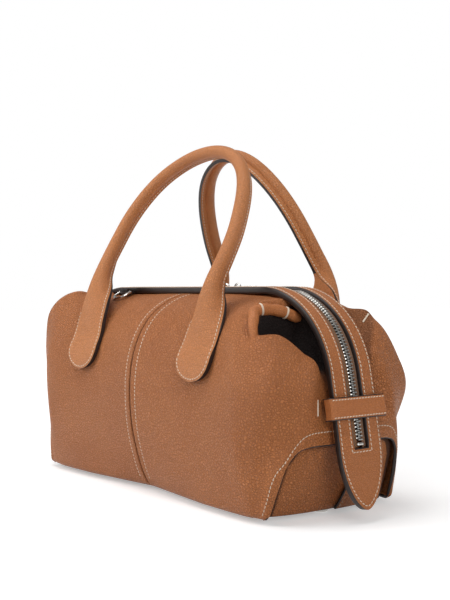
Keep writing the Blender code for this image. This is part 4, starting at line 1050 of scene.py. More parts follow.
def make_leaf(name, side_x, start, end, layer):
    """A leaf behind a cut-out: a grid between two edges that follows the end face inside it."""
    z = np.linspace(0, BELL_HEIGHT + LEAF_TUCK, 40)[:, None]
    share = np.linspace(0, 1, 64)[None]
    y = start(z) + (end(z) - start(z)) * share
    sag = LEAF_SAG * np.sin(y * LEAF_SAG_RATES[0] + side_x) * np.sin(z * LEAF_SAG_RATES[1])
    points = np.stack([leaf_face_x(y, z, layer) + sag, y, z + 0 * y], axis=-1) * [side_x, side_x, 1]
    quads = grid_quads(*points.shape[:2])[:, ::-1]
    beside = bell_y(z) - np.abs(y)
    recess = end_face_x(y, z) - leaf_face_x(y, z, layer)
    # Painted shadow on the leaf along the cut-out's rim and under its top, kept in the field called
    # fold.
    painted_rim_shadow = np.maximum(1 - smoothstep(0, LEAF_SHADE, beside - LEAF_SHADE_SLOPE * recess),
                        smoothstep(BELL_HEIGHT - LEAF_TOP_SHADE, BELL_HEIGHT, z))
    fields = {"fold": LEAF_SHADE_DEPTH * painted_rim_shadow}
    make_leather(name, points, quads, LEAF_THICKNESS, LEAF_EDGE, body_leather(), fields)


def make_leaves():
    """Two leaves at each end, one over the other, with a row of stitches along the lap."""
    lap_rows = []
    for side_x, side in ((-1, "left"), (1, "right")):
        make_leaf(f"end_leaf_{side}_outer", side_x, lap_edge, leaf_edge, 0)
        make_leaf(f"end_leaf_{side}_inner", side_x, lambda z: -leaf_edge(z),
                  lambda z: lap_edge(z) + LAP_WIDTH, 1)
        z = np.linspace(LAP_STITCH_FOOT, BELL_HEIGHT, 30)
        y = lap_edge(z) + LAP_STITCH
        path = np.stack([leaf_face_x(y, z, 0), y, z], axis=-1) * [side_x, side_x, 1]
        lap_rows.append((path, np.tile([side_x, 0.0, 0.0], (len(path), 1))))
    stitching("stitching_leaf_laps", lap_rows)


# Strap, zip and keepers


def tongue_share(distance):
    """Share of the strap's full width at a distance along it: 1, and less towards a tip."""
    left = np.clip((HALF_STRAP - np.abs(distance)) / TONGUE_TAPER, 0, 1)
    return np.maximum((1 - (1 - left) ** TIP_ROUND_POWER) ** TIP_WIDTH_POWER, TIP_LEAST_SHARE)


STRAP_STITCH = 2.5 * MM
SLOT_STITCH = 2.6 * MM
STRAP_CHANNEL, STRAP_CHANNEL_WIDTH = 0.28 * MM, 0.6 * MM
STRAP_CROWN = 0.5 * MM
STRAP_CROWN_POWER = 5
STRAP_COLUMNS = np.array([20, 18.8, 18.2, 17.8, 17.5, 17.1, 16.4, 15, 13, 11, 9.8, 8.9, 8.2, 7.6]) * MM
STRAP_EDGE = 1.0 * MM
STRAP_EDGE_STEPS = 7
STRAP_STITCH_SIZE = {"pitch": 2.9 * MM, "length": 2.2 * MM}
STRAP_STITCH_DEPTH = 0.25 * MM
STRAP_STITCH_LEAST_Y = 0.2 * MM
TIP_LEAST_SHARE = 0.03
TIP_ROWS = 44


def make_strap():
    """The strap as a sheet along its path with a slot left out: a slight crown, a channel under
    the outer stitches, and a width that tapers to rounded tips, in even steps of the width."""
    flat = np.linspace(0, STRAP_FLAT_HALF, 22)[:-1]
    arc = np.linspace(STRAP_FLAT_HALF, ARC_END, 50)[:-1]
    tongue = np.linspace(ARC_END, HALF_SLOT, 16)[:-1]
    share = np.linspace(tongue_share(HALF_SLOT), TIP_LEAST_SHARE, TIP_ROWS)
    left = 1 - (1 - share ** (1 / TIP_WIDTH_POWER)) ** (1 / TIP_ROUND_POWER)
    tip = HALF_STRAP - left * TONGUE_TAPER
    half = np.concatenate([flat, arc, tongue, tip])
    distance = np.concatenate([-half[:0:-1], half])
    slot_edges = [-SLOT_HALF_WIDTH, SLOT_HALF_WIDTH]
    across = np.concatenate([-STRAP_COLUMNS, slot_edges, STRAP_COLUMNS[::-1]])
    share = tongue_share(distance)
    y = across[None] * share[:, None]
    stitch_y = STRAP_HALF_WIDTH - STRAP_STITCH
    channel = STRAP_CHANNEL * swelling(np.abs(across), stitch_y, STRAP_CHANNEL_WIDTH)
    crown = STRAP_CROWN * np.abs(across / STRAP_HALF_WIDTH) ** STRAP_CROWN_POWER
    depth = (channel + crown)[None] * share[:, None] ** 3
    points = strap_point(distance[:, None], y, depth)
    quads = grid_quads(*points.shape[:2])
    row, column = np.divmod(np.arange(len(quads)), points.shape[1] - 1)
    middle = (distance[row] + distance[row + 1]) / 2
    slot = (column == len(STRAP_COLUMNS)) & (np.abs(middle) < HALF_SLOT)
    outline = np.gradient(share * STRAP_HALF_WIDTH, distance)
    edge = np.repeat(STRAP_EDGE * share / np.sqrt(1 + outline ** 2), len(across))
    make_leather("zip_strap", points, quads[~slot], STRAP_THICKNESS, edge, strap_leather(),
                 steps=STRAP_EDGE_STEPS)


def make_strap_stitching():
    """Rows just inside the strap's edge and round each tongue, and rows along the slot that
    close in a U at both ends."""
    half = HALF_STRAP * (1 - np.linspace(1, 0.004, 900) ** 2)
    width = STRAP_HALF_WIDTH * tongue_share(half)
    slope = np.gradient(width, half)
    inset = STRAP_STITCH / np.sqrt(1 + slope ** 2)
    edge = np.maximum(width - inset, 0)
    along = half + STRAP_STITCH * slope / np.sqrt(1 + slope ** 2)
    keep = (edge > STRAP_STITCH_LEAST_Y) & (along <= HALF_STRAP - STRAP_STITCH)
    along, edge = along[keep], edge[keep]
    rows = []
    for side_x in (-1, 1):
        path = np.concatenate([np.column_stack([along, -edge]), np.column_stack([along, edge])[::-1]])
        distance = side_x * path[:, 0]
        sunk = STRAP_STITCH_DEPTH * tongue_share(distance) ** 3
        rows.append((strap_point(distance, path[:, 1], sunk), strap_normal(distance)))
        reach = HALF_SLOT + SLOT_STITCH
        y = SLOT_HALF_WIDTH + SLOT_STITCH
        line = np.linspace(0, reach, 200)
        end = np.linspace(-y, y, 24)
        path = np.concatenate([np.column_stack([line, 0 * line - y]),
                               np.column_stack([0 * end + reach, end]),
                               np.column_stack([line, 0 * line + y])[::-1]])
        distance = side_x * path[:, 0]
        rows.append((strap_point(distance, path[:, 1], 0), strap_normal(distance)))
    stitching("stitching_strap", rows, **STRAP_STITCH_SIZE)


TOOTH_PITCH = 2.4 * MM
TAPE_THICKNESS = 0.9 * MM
ZIP_RISE_START = 97.0 * MM
ZIP_RISE_END = 112.0 * MM
ZIP_END_DEPTH = 2.3 * MM
TAPE_COLUMNS = np.array([8.2, 6.5, 5.0, 4.0, 3.4, 2.9, 2.5, 2.2]) * MM
TAPE_BEAD = np.array([0, 0, 0, 0, -0.2, -0.5, -0.55, -0.3]) * MM
TAPE_TUCK = 2.0 * MM
TAPE_TUCK_START = 4.0 * MM
TAPE_EDGE = 0.3 * MM
TOOTH_OUTLINE = np.array([(3.0, -0.50), (1.3, -0.50), (0.55, -0.34), (-0.1, -0.53), (-0.85, -0.4),
                          (-0.85, 0.4), (-0.1, 0.53), (0.55, 0.34), (1.3, 0.50), (3.0, 0.50)]) * MM
TOOTH_LEVELS = ((0.7 * MM, 0.95), (-1.15 * MM, 1.0), (-1.55 * MM, 0.72))
CHAIN_INSET = 4.5 * MM
STOP_INSET = 2.4 * MM
STOP_HALF = 1.9 * MM
STOP_RISE = 1.0 * MM
STOP_RADIUS = 1.1 * MM
ZIP_ROUGHNESS = 0.2
HARDWARE_ROUGHNESS = 0.16


def zip_raised(distance):
    """0 where the tapes lie under the strap, 1 where they are up in the slot."""
    return smoothstep(ZIP_RISE_START, ZIP_RISE_END, np.abs(distance))


def zip_depth(distance):
    """How deep the tapes lie below the strap's face: under the strap on the flat top, and up in
    the slot round the ends, where the curve lifts them."""
    return STRAP_THICKNESS + GAP - (STRAP_THICKNESS + GAP - ZIP_END_DEPTH) * zip_raised(distance)


def make_tape(name, side):
    """Half of the zip's tape: a band along the strap's path with a bead at its inner edge."""
    distance = np.linspace(-HALF_SLOT + GAP, HALF_SLOT - GAP, 400)
    across = TAPE_COLUMNS
    outer_share = np.clip((across - TAPE_TUCK_START) / (across[0] - TAPE_TUCK_START), 0, 1)
    tuck = TAPE_TUCK * outer_share * zip_raised(distance)[:, None]
    depth = zip_depth(distance)[:, None] + TAPE_BEAD
    points = strap_point(distance[:, None], side * (across - tuck), depth)
    quads = grid_quads(*points.shape[:2])
    if side > 0:
        quads = quads[:, ::-1]
    uv = np.stack(np.broadcast_arrays(distance[:, None], across[None]), axis=-1).reshape(-1, 2)
    points, faces, _, _ = walled(points, quads, TAPE_THICKNESS, TAPE_EDGE, 2)
    on_rim = len(points) - 2 * len(uv)
    uv = np.concatenate([uv, uv, np.zeros((on_rim, 2))])
    return build("tape_" + name, points, faces, woven_tape(), "bag", uv=uv)


def tooth_shapes(side, distances):
    """Teeth of one row: a waisted outline with a head that reaches past the middle, raised
    through two levels and drawn in at the top."""
    centre = TOOTH_OUTLINE.mean(axis=0)
    depth = zip_depth(distances)[:, None]
    rings = []
    for level, size in TOOTH_LEVELS:
        shape = centre + (TOOTH_OUTLINE - centre) * size
        rings.append(strap_point(distances[:, None] + shape[None, :, 1], side * shape[None, :, 0],
                                 depth + level))
    points = np.stack(rings, axis=1).reshape(-1, 3)
    quads = grid_quads(3, 10, close_columns=True)
    caps = np.array([[0, 1, 8, 9], [1, 2, 7, 8], [2, 3, 6, 7], [3, 4, 5, 6]])
    faces = np.concatenate([quads, caps, caps[:, ::-1] + 20])
    if side > 0:
        faces = faces[:, ::-1]
    return points, (faces[None] + 30 * np.arange(len(distances))[:, None, None]).reshape(-1, 4)


def make_zip_stops():
    """A small metal bar across the chain just before each end of the slot."""
    for side, name in ((-1, "zip_stop_left"), (1, "zip_stop_right")):
        distance = side * (HALF_SLOT - STOP_INSET)
        y = np.linspace(-STOP_HALF, STOP_HALF, 12)
        path = strap_point(distance + 0 * y, y, ZIP_END_DEPTH - STOP_RISE)
        make_metal(name, tube(path, STOP_RADIUS, 14, up=strap_normal(distance)), ZIP_ROUGHNESS)


def make_zip():
    """Both tapes, and their teeth in turn: each row is a quarter of a pitch off the middle."""
    usable = HALF_SLOT - CHAIN_INSET
    count = int(2 * usable / TOOTH_PITCH)
    starts = (np.arange(count) - (count - 1) / 2) * TOOTH_PITCH
    for side, name in ((-1, "zip_stringer_front"), (1, "zip_stringer_rear")):
        tape = make_tape(name, side)
        shift = side * TOOTH_PITCH / 4
        shapes = tooth_shapes(side, starts + shift)
        teeth = build("teeth_" + name, *shapes, polished_metal(ZIP_ROUGHNESS), "bag", sharp=35)
        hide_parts(name)


SLIDER_CORNERS = np.array([(-6.5, -4.4), (2.6, -4.4), (6.5, -2.6),
                           (6.5, 2.6), (2.6, 4.4), (-6.5, 4.4)]) * MM
SLIDER_CORNER_RADIUS = 1.6 * MM
PLATE_FOOT, PLATE_EDGE = 0.9 * MM, 0.5 * MM
SKIRT_TOP, SKIRT_EDGE = 1.2 * MM, 0.3 * MM
SKIRT_SHARE = 0.93
RIDGE_HALF, RIDGE_HALF_WIDTH, RIDGE_CORNER_RADIUS = 3.6 * MM, 1.1 * MM, 1.0 * MM
RIDGE_SUNK, RIDGE_RISE, RIDGE_EDGE = 0.3 * MM, 0.7 * MM, 0.45 * MM
BAIL_HALF, BAIL_HEIGHT, BAIL_SUNK = 3.9 * MM, 5.7 * MM, 1.1 * MM
BAIL_POWER = 0.7
BAIL_RADIUS = 0.8 * MM
PULL_HALF_WIDTH = 3.5 * MM
PULL_REACH = 28.0 * MM
PULL_BACK = 0.8 * MM
PULL_SIDE_START, PULL_SIDE_INSET = 4.0 * MM, 1.0 * MM
PULL_HALF_THICKNESS, PULL_EDGE = 0.7 * MM, 0.3 * MM
EYE_X, EYE_HALF, EYE_HALF_WIDTH = 3.3 * MM, 2.4 * MM, 1.85 * MM
FIELD_START, FIELD_END, FIELD_HALF_WIDTH = 9.0 * MM, 22.0 * MM, 1.6 * MM
FIELD_CORNER_RADIUS, FIELD_SUNK, FIELD_RISE, FIELD_EDGE = 1.5 * MM, 0.2 * MM, 0.25 * MM, 0.2 * MM


def rectangle(start, end, half):
    """Its corners, anticlockwise: from start to end along X, and half to each side of it."""
    return np.array([(start, -half), (end, -half), (end, half), (start, half)])


def rounded_outline(corners, radius, steps=6):
    """A closed polygon with each corner replaced by an arc that touches both its sides."""
    corners = np.asarray(corners, float)
    before = unit(np.roll(corners, 1, axis=0) - corners)
    after = unit(np.roll(corners, -1, axis=0) - corners)
    t = np.linspace(0, 1, steps)[None, :, None]
    start = corners + before * radius
    end = corners + after * radius
    curve = ((1 - t) ** 2 * start[:, None] + 2 * t * (1 - t) * corners[:, None]
             + t ** 2 * end[:, None])
    return curve.reshape(-1, 2)


def rim_rings(outline, face, up, edge, steps, sign=1):
    """Rings from a closed outline of full size to a flat face at a height, round a quarter
    circle of the edge's radius. They draw in as they near the face, or open out for a hole,
    whose sign is -1. up is 1 for the upper face and -1 for the lower one."""
    tangent = unit(np.roll(outline, -1, axis=0) - np.roll(outline, 1, axis=0))
    inward = np.column_stack([-tangent[:, 1], tangent[:, 0]])
    rings = []
    for t in np.linspace(0, math.pi / 2, steps + 1):
        z = face - up * edge * (1 - math.sin(t))
        inset = sign * edge * (1 - math.cos(t))
        rings.append(np.column_stack([outline + inward * inset, np.full(len(outline), z)]))
    return rings


def pillow(outline, low, high, edge, steps=4):
    """A plate with rounded rims and flat faces."""
    rings = rim_rings(outline, low, -1, edge, steps)[::-1] + rim_rings(outline, high, 1, edge, steps)
    cap = np.arange(len(outline))[None]
    faces = [grid_quads(len(rings), len(outline), close_columns=True)[:, ::-1], cap[:, ::-1],
             cap + (len(rings) - 1) * len(outline)]
    return np.concatenate(rings), faces


def make_slider(name, side):
    """A zip slider: a rounded plate narrow at its nose, two side flanges, a raised ridge and a
    wire bail over it."""
    under = STRAP_TOP - STRAP_THICKNESS
    top = under + SLIDER_PLATE
    centre = side * SLIDER_SPACING / 2 + SLIDER_X
    corners = SLIDER_CORNERS * [-side, 1]
    if side > 0:
        corners = corners[::-1]
    outline = rounded_outline(corners, SLIDER_CORNER_RADIUS)
    plate = pillow(outline, under + PLATE_FOOT, top, PLATE_EDGE)
    skirt = pillow(outline * SKIRT_SHARE, under, under + SKIRT_TOP, SKIRT_EDGE)
    ridge = rectangle(-RIDGE_HALF, RIDGE_HALF, RIDGE_HALF_WIDTH)
    ridge = pillow(rounded_outline(ridge, RIDGE_CORNER_RADIUS), top - RIDGE_SUNK, top + RIDGE_RISE,
                   RIDGE_EDGE)
    turn = np.linspace(0, math.pi, 33)
    arch = np.column_stack([BAIL_HALF * np.cos(turn), 0 * turn,
                            top - BAIL_SUNK + BAIL_HEIGHT * np.sin(turn) ** BAIL_POWER])
    bail = tube(arch, BAIL_RADIUS, 14, up=(0, 1, 0))
    points, faces = joined([plate, skirt, ridge, bail])
    make_metal(name, (points + [centre, 0, 0], faces), HARDWARE_ROUGHNESS, name, 40)
    make_pull(name.replace("slider", "pull"), centre, side, top + PULL_SEAT)


def ring_plate(outer, hole, low, high, edge, steps=3):
    """A plate with one hole: matching outlines of the rim and the hole, joined over the top and
    the bottom with rounded edges."""
    rings = rim_rings(outer, high, 1, edge, steps)
    rings += rim_rings(hole, high, 1, edge, steps, -1)[::-1]
    rings += rim_rings(hole, low, -1, edge, steps, -1)
    rings += rim_rings(outer, low, -1, edge, steps)[::-1]
    quads = grid_quads(len(rings), len(outer), close_rows=True, close_columns=True)
    return np.concatenate(rings), [quads[:, ::-1]]


def make_pull(name, x, side, z):
    """A flat pull: a long tab round at its end, with an oblong eye round the bail, and a small
    bevelled field along its middle."""
    half = PULL_HALF_WIDTH
    tip = PULL_REACH - half
    turn = np.linspace(-math.pi / 2, math.pi / 2, 24)
    along = np.linspace(PULL_SIDE_START, tip - PULL_SIDE_INSET, 8)
    outer = np.concatenate([[(-PULL_BACK, half), (-PULL_BACK, -half)],
                            np.column_stack([along, 0 * along - half]),
                            np.column_stack([tip + half * np.cos(turn), half * np.sin(turn)]),
                            np.column_stack([along[::-1], 0 * along + half])])
    angle = np.arctan2(outer[:, 1], outer[:, 0] - EYE_X)
    round_x, round_y = (np.sign(wave) * np.sqrt(np.abs(wave)) for wave in (np.cos(angle), np.sin(angle)))
    eye = np.column_stack([EYE_X + EYE_HALF * round_x, EYE_HALF_WIDTH * round_y])
    low, high = z - PULL_HALF_THICKNESS, z + PULL_HALF_THICKNESS
    tab = ring_plate(outer * side, eye * side, low, high, PULL_EDGE)
    field = rectangle(FIELD_START, FIELD_END, FIELD_HALF_WIDTH) * side
    field = pillow(rounded_outline(field, FIELD_CORNER_RADIUS), high - FIELD_SUNK, high + FIELD_RISE,
                   FIELD_EDGE)
    points, faces = joined([tab, field])
    make_metal(name, (points + [x, 0, 0], faces), HARDWARE_ROUGHNESS, name, 40)


def keeper_station():
    """How far along the strap the keepers lie: where its face reaches their height."""
    spots = np.linspace(0, HALF_STRAP, 4000)
    return spots[np.argmin(np.abs(strap_point(spots, 0, 0)[:, 2] - KEEPER_Z))]


def make_keeper(name, side):
    """A leather band bent into a staple over the tongue: a profile across the bag with rounded
    shoulders, carried along the strap's path by the keeper's height."""
    station = keeper_station()
    lift = KEEPER_THICKNESS + GAP
    drop = STRAP_THICKNESS + lift
    reach, corner = KEEPER_HALF_WIDTH, KEEPER_CORNER
    turn = np.linspace(0, math.pi / 2, 10)
    flat = np.linspace(0, reach - corner, 14)[:-1]
    half = np.concatenate([np.column_stack([flat, 0 * flat]),
                           np.column_stack([reach - corner + corner * np.sin(turn),
                                            corner * (1 - np.cos(turn))]),
                           [[reach, (corner + drop) / 2], [reach, drop]]])
    outline = np.concatenate([half[:0:-1] * [-1, 1], half])
    along = np.linspace(-KEEPER_HEIGHT / 2, KEEPER_HEIGHT / 2, 16)
    swell = KEEPER_SWELL * np.cos(along / KEEPER_HEIGHT * math.pi)
    points = strap_point(station + along[:, None], outline[None, :, 0],
                         outline[None, :, 1] - lift - swell[:, None]) * [side, 1, 1]
    quads = grid_quads(*points.shape[:2])
    if side < 0:
        quads = quads[:, ::-1]
    make_leather(name, points, quads, KEEPER_THICKNESS, KEEPER_EDGE, smooth_leather())
    return station, lift


def make_keepers():
    """Both keepers, with a row of stitches along their upper and lower edges."""
    rows = []
    for side, name in ((-1, "keeper_left"), (1, "keeper_right")):
        station, lift = make_keeper(name, side)
        reach = KEEPER_HALF_WIDTH - KEEPER_STITCH_END
        y = np.linspace(-reach, reach, 40)
        for edge in (-1, 1):
            spot = station + edge * (KEEPER_HEIGHT / 2 - KEEPER_STITCH)
            path = strap_point(spot + 0 * y, y, -lift - KEEPER_STITCH_RISE) * [side, 1, 1]
            rows.append((path, strap_normal(spot + 0 * y) * [side, 1, 1]))
    stitching("stitching_keepers", rows, **KEEPER_STITCH_SIZE)


# Handles with their patches

TUBE_RADIUS = 5.05 * MM
FIN_HEIGHTS = {-1: 3.2 * MM, 1: 5.8 * MM}
FIN_HALF = 1.4 * MM
CLOSED_ANGLE = math.pi - math.asin(FIN_HALF / TUBE_RADIUS)
ARC_HALF = TUBE_RADIUS * CLOSED_ANGLE
PATCH_HALF = 19.4 * MM
FOOT_LEAST_SHARE = 0.03
ROLL_HEIGHTS = np.array([98, 110, 125, 142, 157, 167, 180]) * MM
ROLL_SHARES = (0, 0.04, 0.18, 0.46, 0.80, 0.95, 1.0)
LATE_ROLL_SHARES = (0, 0.02, 0.10, 0.27, 0.56, 0.82, 1.0)
FIN_START_ROLL = 0.93
STANDOFF_STEP = 14.0 * MM
STANDOFFS = {-1: (0, 3.0, 5.2, 4.4, 2.4, 0.9, 0.0), 1: (0, 0, 0, 0, 0, 0, 0)}
PATCH_EDGE = 3.4 * MM
PATCH_STITCH = 1.9 * MM
PATCH_STITCH_DEPTH = 0.5 * MM
BESIDE_SHARE = 0.96
SIDEWAYS_ROLL = 0.6
SHEET_COLUMNS = 49
PATCH_GAP = 5.0 * MM
RIM_DROP = 0.9 * MM
RIM_START_SHARE = 0.62
LEG_CHANGE = 25.0 * MM
LAID_BELOW, FREE_ABOVE = 100.0 * MM, 124.0 * MM
LAID_REACH = 22.0 * MM
LEG_BOW_SHARES = (0.0, 0.17, 0.37, 0.5, 0.62, 0.75, 0.88, 1.0)
LEG_BOWS = {(-1, -1): (0, 1.5, 6.0, 8.6, 10.0, 10.0, 8.8, 5.0),
            (-1, 1): (0, 0, -0.6, -1.8, -2.8, -2.8, -2.4, -3.0),
            (1, -1): (0, -5.0, -3.2, 0.2, 2.0, 3.3, 3.4, 1.0),
            (1, 1): (0, 2.8, -1.6, -1.8, -1.0, -0.6, -0.8, -1.0)}


def lean_at(distance, lean):
    """A handle's lean inwards at a distance up it: the neck's, then the arch's."""
    return lean[0] + (lean[1] - lean[0]) * smoothstep(LEAN_START, LEAN_END, distance)


def arch_route(arch, steps):
    """The handle's centre line in its own sheet: a superellipse arch, evenly spaced."""
    height, bulge, taper_share = arch
    turn = np.linspace(0, math.pi, 4001)
    up = height * np.sin(turn) ** (2 / ARCH_POWER)
    up_share = up / height
    width = (HANDLE_SPREAD + bulge * np.sin(up_share * math.pi)) * (1 - taper_share * up_share)
    across = np.sign(np.cos(turn)) * width * np.sqrt(np.clip(1 - up_share ** ARCH_POWER, 0, 1))
    return resampled(np.column_stack([across, up]), steps)


def leg_bow(side, x, share):
    """How far a handle strays sideways from the even arch at a share of its height, each leg by
    its own curve, with a smooth change from one to the other over the top."""
    spans = np.interp(share, LEG_BOW_SHARES, np.arange(len(LEG_BOW_SHARES)))
    left, right = (spline_at(np.array(LEG_BOWS[(side, leg)]) * MM, spans) for leg in (-1, 1))
    return -left + (left + right) * smoothstep(-LEG_CHANGE, LEG_CHANGE, x)


def handle_line(side, arch, lean, steps=220):
    """Face line and inward direction of a whole handle, from the foot of its right patch over
    the arch to the foot of its left one: patches, necks and arch end to end, smoothed by a
    weighted mean of seven places."""
    route = arch_route(arch, steps)
    dense = np.linspace(0, route[:, 1].max(), 2000)
    turn = lean_at(dense, lean)
    step = np.diff(dense, prepend=0)
    y = HINGE_Y - np.cumsum(np.sin(turn) * step)
    z = HINGE_Z + np.cumsum(np.cos(turn) * step)
    run = route[:, 1]
    angle = lean_at(run, lean)
    inward = np.column_stack([0 * run, -side * np.cos(angle), -np.sin(angle)])
    x = route[:, 0] + leg_bow(side, route[:, 0], run / run.max())
    places = np.minimum(run / STANDOFF_STEP, len(STANDOFFS[side]) - 1)
    standoff = spline_at(np.array(STANDOFFS[side]) * MM, places)
    spots = np.column_stack([x, side * (np.interp(run, dense, y) + standoff), np.interp(run, dense, z)])
    roll = roll_at(side, spots[:, 0], spots[:, 2])
    depth = NECK_THICKNESS / 2 + (TUBE_RADIUS - NECK_THICKNESS / 2) * roll
    face = spots - depth[:, None] * inward
    low = np.linspace(PATCH_FOOT_Z, HINGE_Z - PATCH_GAP, 26)
    patch_y = panel_face_y(side, HANDLE_SPREAD, low) + 2 * GAP + PATCH_THICKNESS
    right = np.column_stack([0 * low + HANDLE_SPREAD, side * patch_y, low])
    slope = unit(np.gradient(right, axis=0))
    patch_inward = -side * np.cross(slope, np.array([1.0, 0, 0]))
    keep = slice(3, -3)
    line = np.concatenate([right, face[keep], (right * [-1, 1, 1])[::-1]])
    into = np.concatenate([patch_inward, inward[keep], patch_inward[::-1]])
    both = np.column_stack([line, into])
    kernel = np.array([1, 2, 3, 4, 3, 2, 1]) / 16
    padded = np.concatenate([np.repeat(both[:1], 3, 0), both, np.repeat(both[-1:], 3, 0)])
    smooth = np.column_stack([np.convolve(column, kernel, "valid") for column in padded.T])
    smooth[[0, -1]] = both[[0, -1]]
    return smooth[:, :3], unit(smooth[:, 3:])


def roll_at(side, x, z):
    """How far the sheet is rolled up at a height: 0 at the patch, 1 from the tube on. The front
    left leg rolls up later than the others."""
    spans = np.interp(z, ROLL_HEIGHTS, np.arange(len(ROLL_HEIGHTS)))
    early, late = (spline_at(np.array(shares), spans) for shares in (ROLL_SHARES, LATE_ROLL_SHARES))
    return np.clip(np.where((side < 0) & (x < 0), late, early), 0, 1)


def sheet_section(roll, share, foot_share, fin):
    """(across, inward) of a place on the sheet: flat at the patch, then bent to a circle whose
    two edges turn in together as a fin. share runs over the sheet's width, -1 to 1."""
    roll = np.maximum(roll, 1e-4)
    half = (PATCH_HALF + (ARC_HALF + fin - PATCH_HALF) * roll) * foot_share
    length = np.abs(share) * half
    arc = np.minimum(length, ARC_HALF)
    angle = arc / ARC_HALF * CLOSED_ANGLE * roll
    radius = ARC_HALF / (CLOSED_ANGLE * roll)
    across = radius * np.sin(angle)
    inward = radius * (1 - np.cos(angle))
    end = CLOSED_ANGLE * roll - (CLOSED_ANGLE - math.pi / 2) * roll ** 4
    beyond = np.maximum(length - ARC_HALF, 0)
    across = across + beyond * np.cos(end)
    inward = inward + beyond * np.sin(end)
    fall = np.sqrt(np.clip(1 - foot_share ** 2, 0, 1))
    close = np.sqrt((share * foot_share) ** 2 + fall ** 2)
    rim = np.clip((close - RIM_START_SHARE) / (1 - RIM_START_SHARE), 0, 1)
    drop = RIM_DROP * rim ** 2 * (1 - roll) ** 2
    return np.sign(share) * across, inward + drop


def foot_share_at(z):
    """Share of a patch's full width at a height: its foot is half an ellipse."""
    fall = np.clip((PATCH_WIDEST_Z - z) / (PATCH_WIDEST_Z - PATCH_FOOT_Z), 0, 1)
    return np.maximum(np.sqrt(1 - fall ** 2), FOOT_LEAST_SHARE)


def swept(line, inward, across, depth, side):
    """Points of a section carried along a line: across it and inwards from it. Low down they
    follow the panel's own face instead."""
    tangent = unit(np.gradient(line, axis=0))
    sideways = unit(np.cross(inward, tangent))
    inward = np.cross(tangent, sideways)
    free = line[:, None] + across[..., None] * sideways[:, None] + depth[..., None] * inward[:, None]
    z = line[:, 2]
    low = z < FREE_ABOVE
    leg = np.sign(line[:, 0])[:, None]
    x = line[:, :1] - side * leg * across
    columns = np.linspace(-LAID_REACH, LAID_REACH, 9)
    laid = free.copy()
    spots = leg[low] * HANDLE_SPREAD + columns[None]
    table = panel_face_y(side, spots, np.broadcast_to(z[low][:, None], spots.shape))
    place = (x[low] - leg[low] * HANDLE_SPREAD - columns[0]) / (columns[1] - columns[0])
    left = np.clip(place.astype(int), 0, len(columns) - 2)
    share = place - left
    rows = np.arange(low.sum())[:, None]
    face = table[rows, left] * (1 - share) + table[rows, left + 1] * share
    y = side * (face + 2 * GAP + PATCH_THICKNESS - depth[low])
    laid[low] = np.stack([x[low], y, np.broadcast_to(z[low][:, None], y.shape)], axis=-1)
    free_share = smoothstep(LAID_BELOW, FREE_ABOVE, z)[:, None, None]
    return laid * (1 - free_share) + free * free_share


def foot_row(side, leg):
    """Where the stitches run round the foot of a patch, on its face: half an ellipse."""
    turn = np.linspace(0, math.pi, 40)
    x = leg * HANDLE_SPREAD + (PATCH_HALF - PATCH_STITCH) * np.cos(turn)
    z = PATCH_WIDEST_Z - (PATCH_WIDEST_Z - PATCH_FOOT_Z - PATCH_STITCH) * np.sin(turn)
    y = panel_face_y(side, x, z) + 2 * GAP + PATCH_THICKNESS - PATCH_STITCH_DEPTH
    return np.column_stack([x, side * y, z]), np.tile([0.0, side, 0.0], (len(turn), 1))


def handle_rows(side, line, inward, roll, foot):
    """Rows of stitches along both edges of a handle's sheet and round the feet of its patches.
    Their normals point out of the fin's sides above and away from the bag on the patches."""
    edge_share = 1 - PATCH_STITCH / PATCH_HALF
    high = line[:, 2] >= PATCH_WIDEST_Z
    rows = [foot_row(side, -1)]
    for edge in (-1, 1):
        shares = edge * edge_share * np.array([[1.0, BESIDE_SHARE]])
        spots = swept(line, inward, *sheet_section(roll, shares, foot, FIN_HEIGHTS[side]), side)
        tangent = unit(np.gradient(spots[:, 0], axis=0))
        normal = unit(np.cross(tangent, spots[:, 1] - spots[:, 0]))
        sideways = np.cross(inward, unit(np.gradient(line, axis=0))) * edge
        outwards = np.where(roll > SIDEWAYS_ROLL, sideways, -inward)
        normal *= np.sign((normal * outwards).sum(axis=1, keepdims=True))
        rows.append((spots[high, 0], normal[high]))
    rows.append(foot_row(side, 1))
    return rows


def with_back(across, depth, wall):
    """A section closed behind: from its right edge down a wall, along the back, and up another
    wall to its left edge. Where the sheet is rolled up the wall is nothing."""
    right, left, edge_depth = across[:, -1:], across[:, :1], depth[:, -1:]
    steps = np.array([0.5, 1.0])[None]
    deep = np.maximum(edge_depth + wall, depth.max(axis=1, keepdims=True))
    down = edge_depth + (deep - edge_depth) * steps
    chord = np.linspace(1, -1, 6)[None, 1:-1]
    across = np.concatenate([across, right + 0 * steps, right * chord, left + 0 * steps], axis=1)
    return across, np.concatenate([depth, down, deep + 0 * chord, down[:, ::-1]], axis=1)


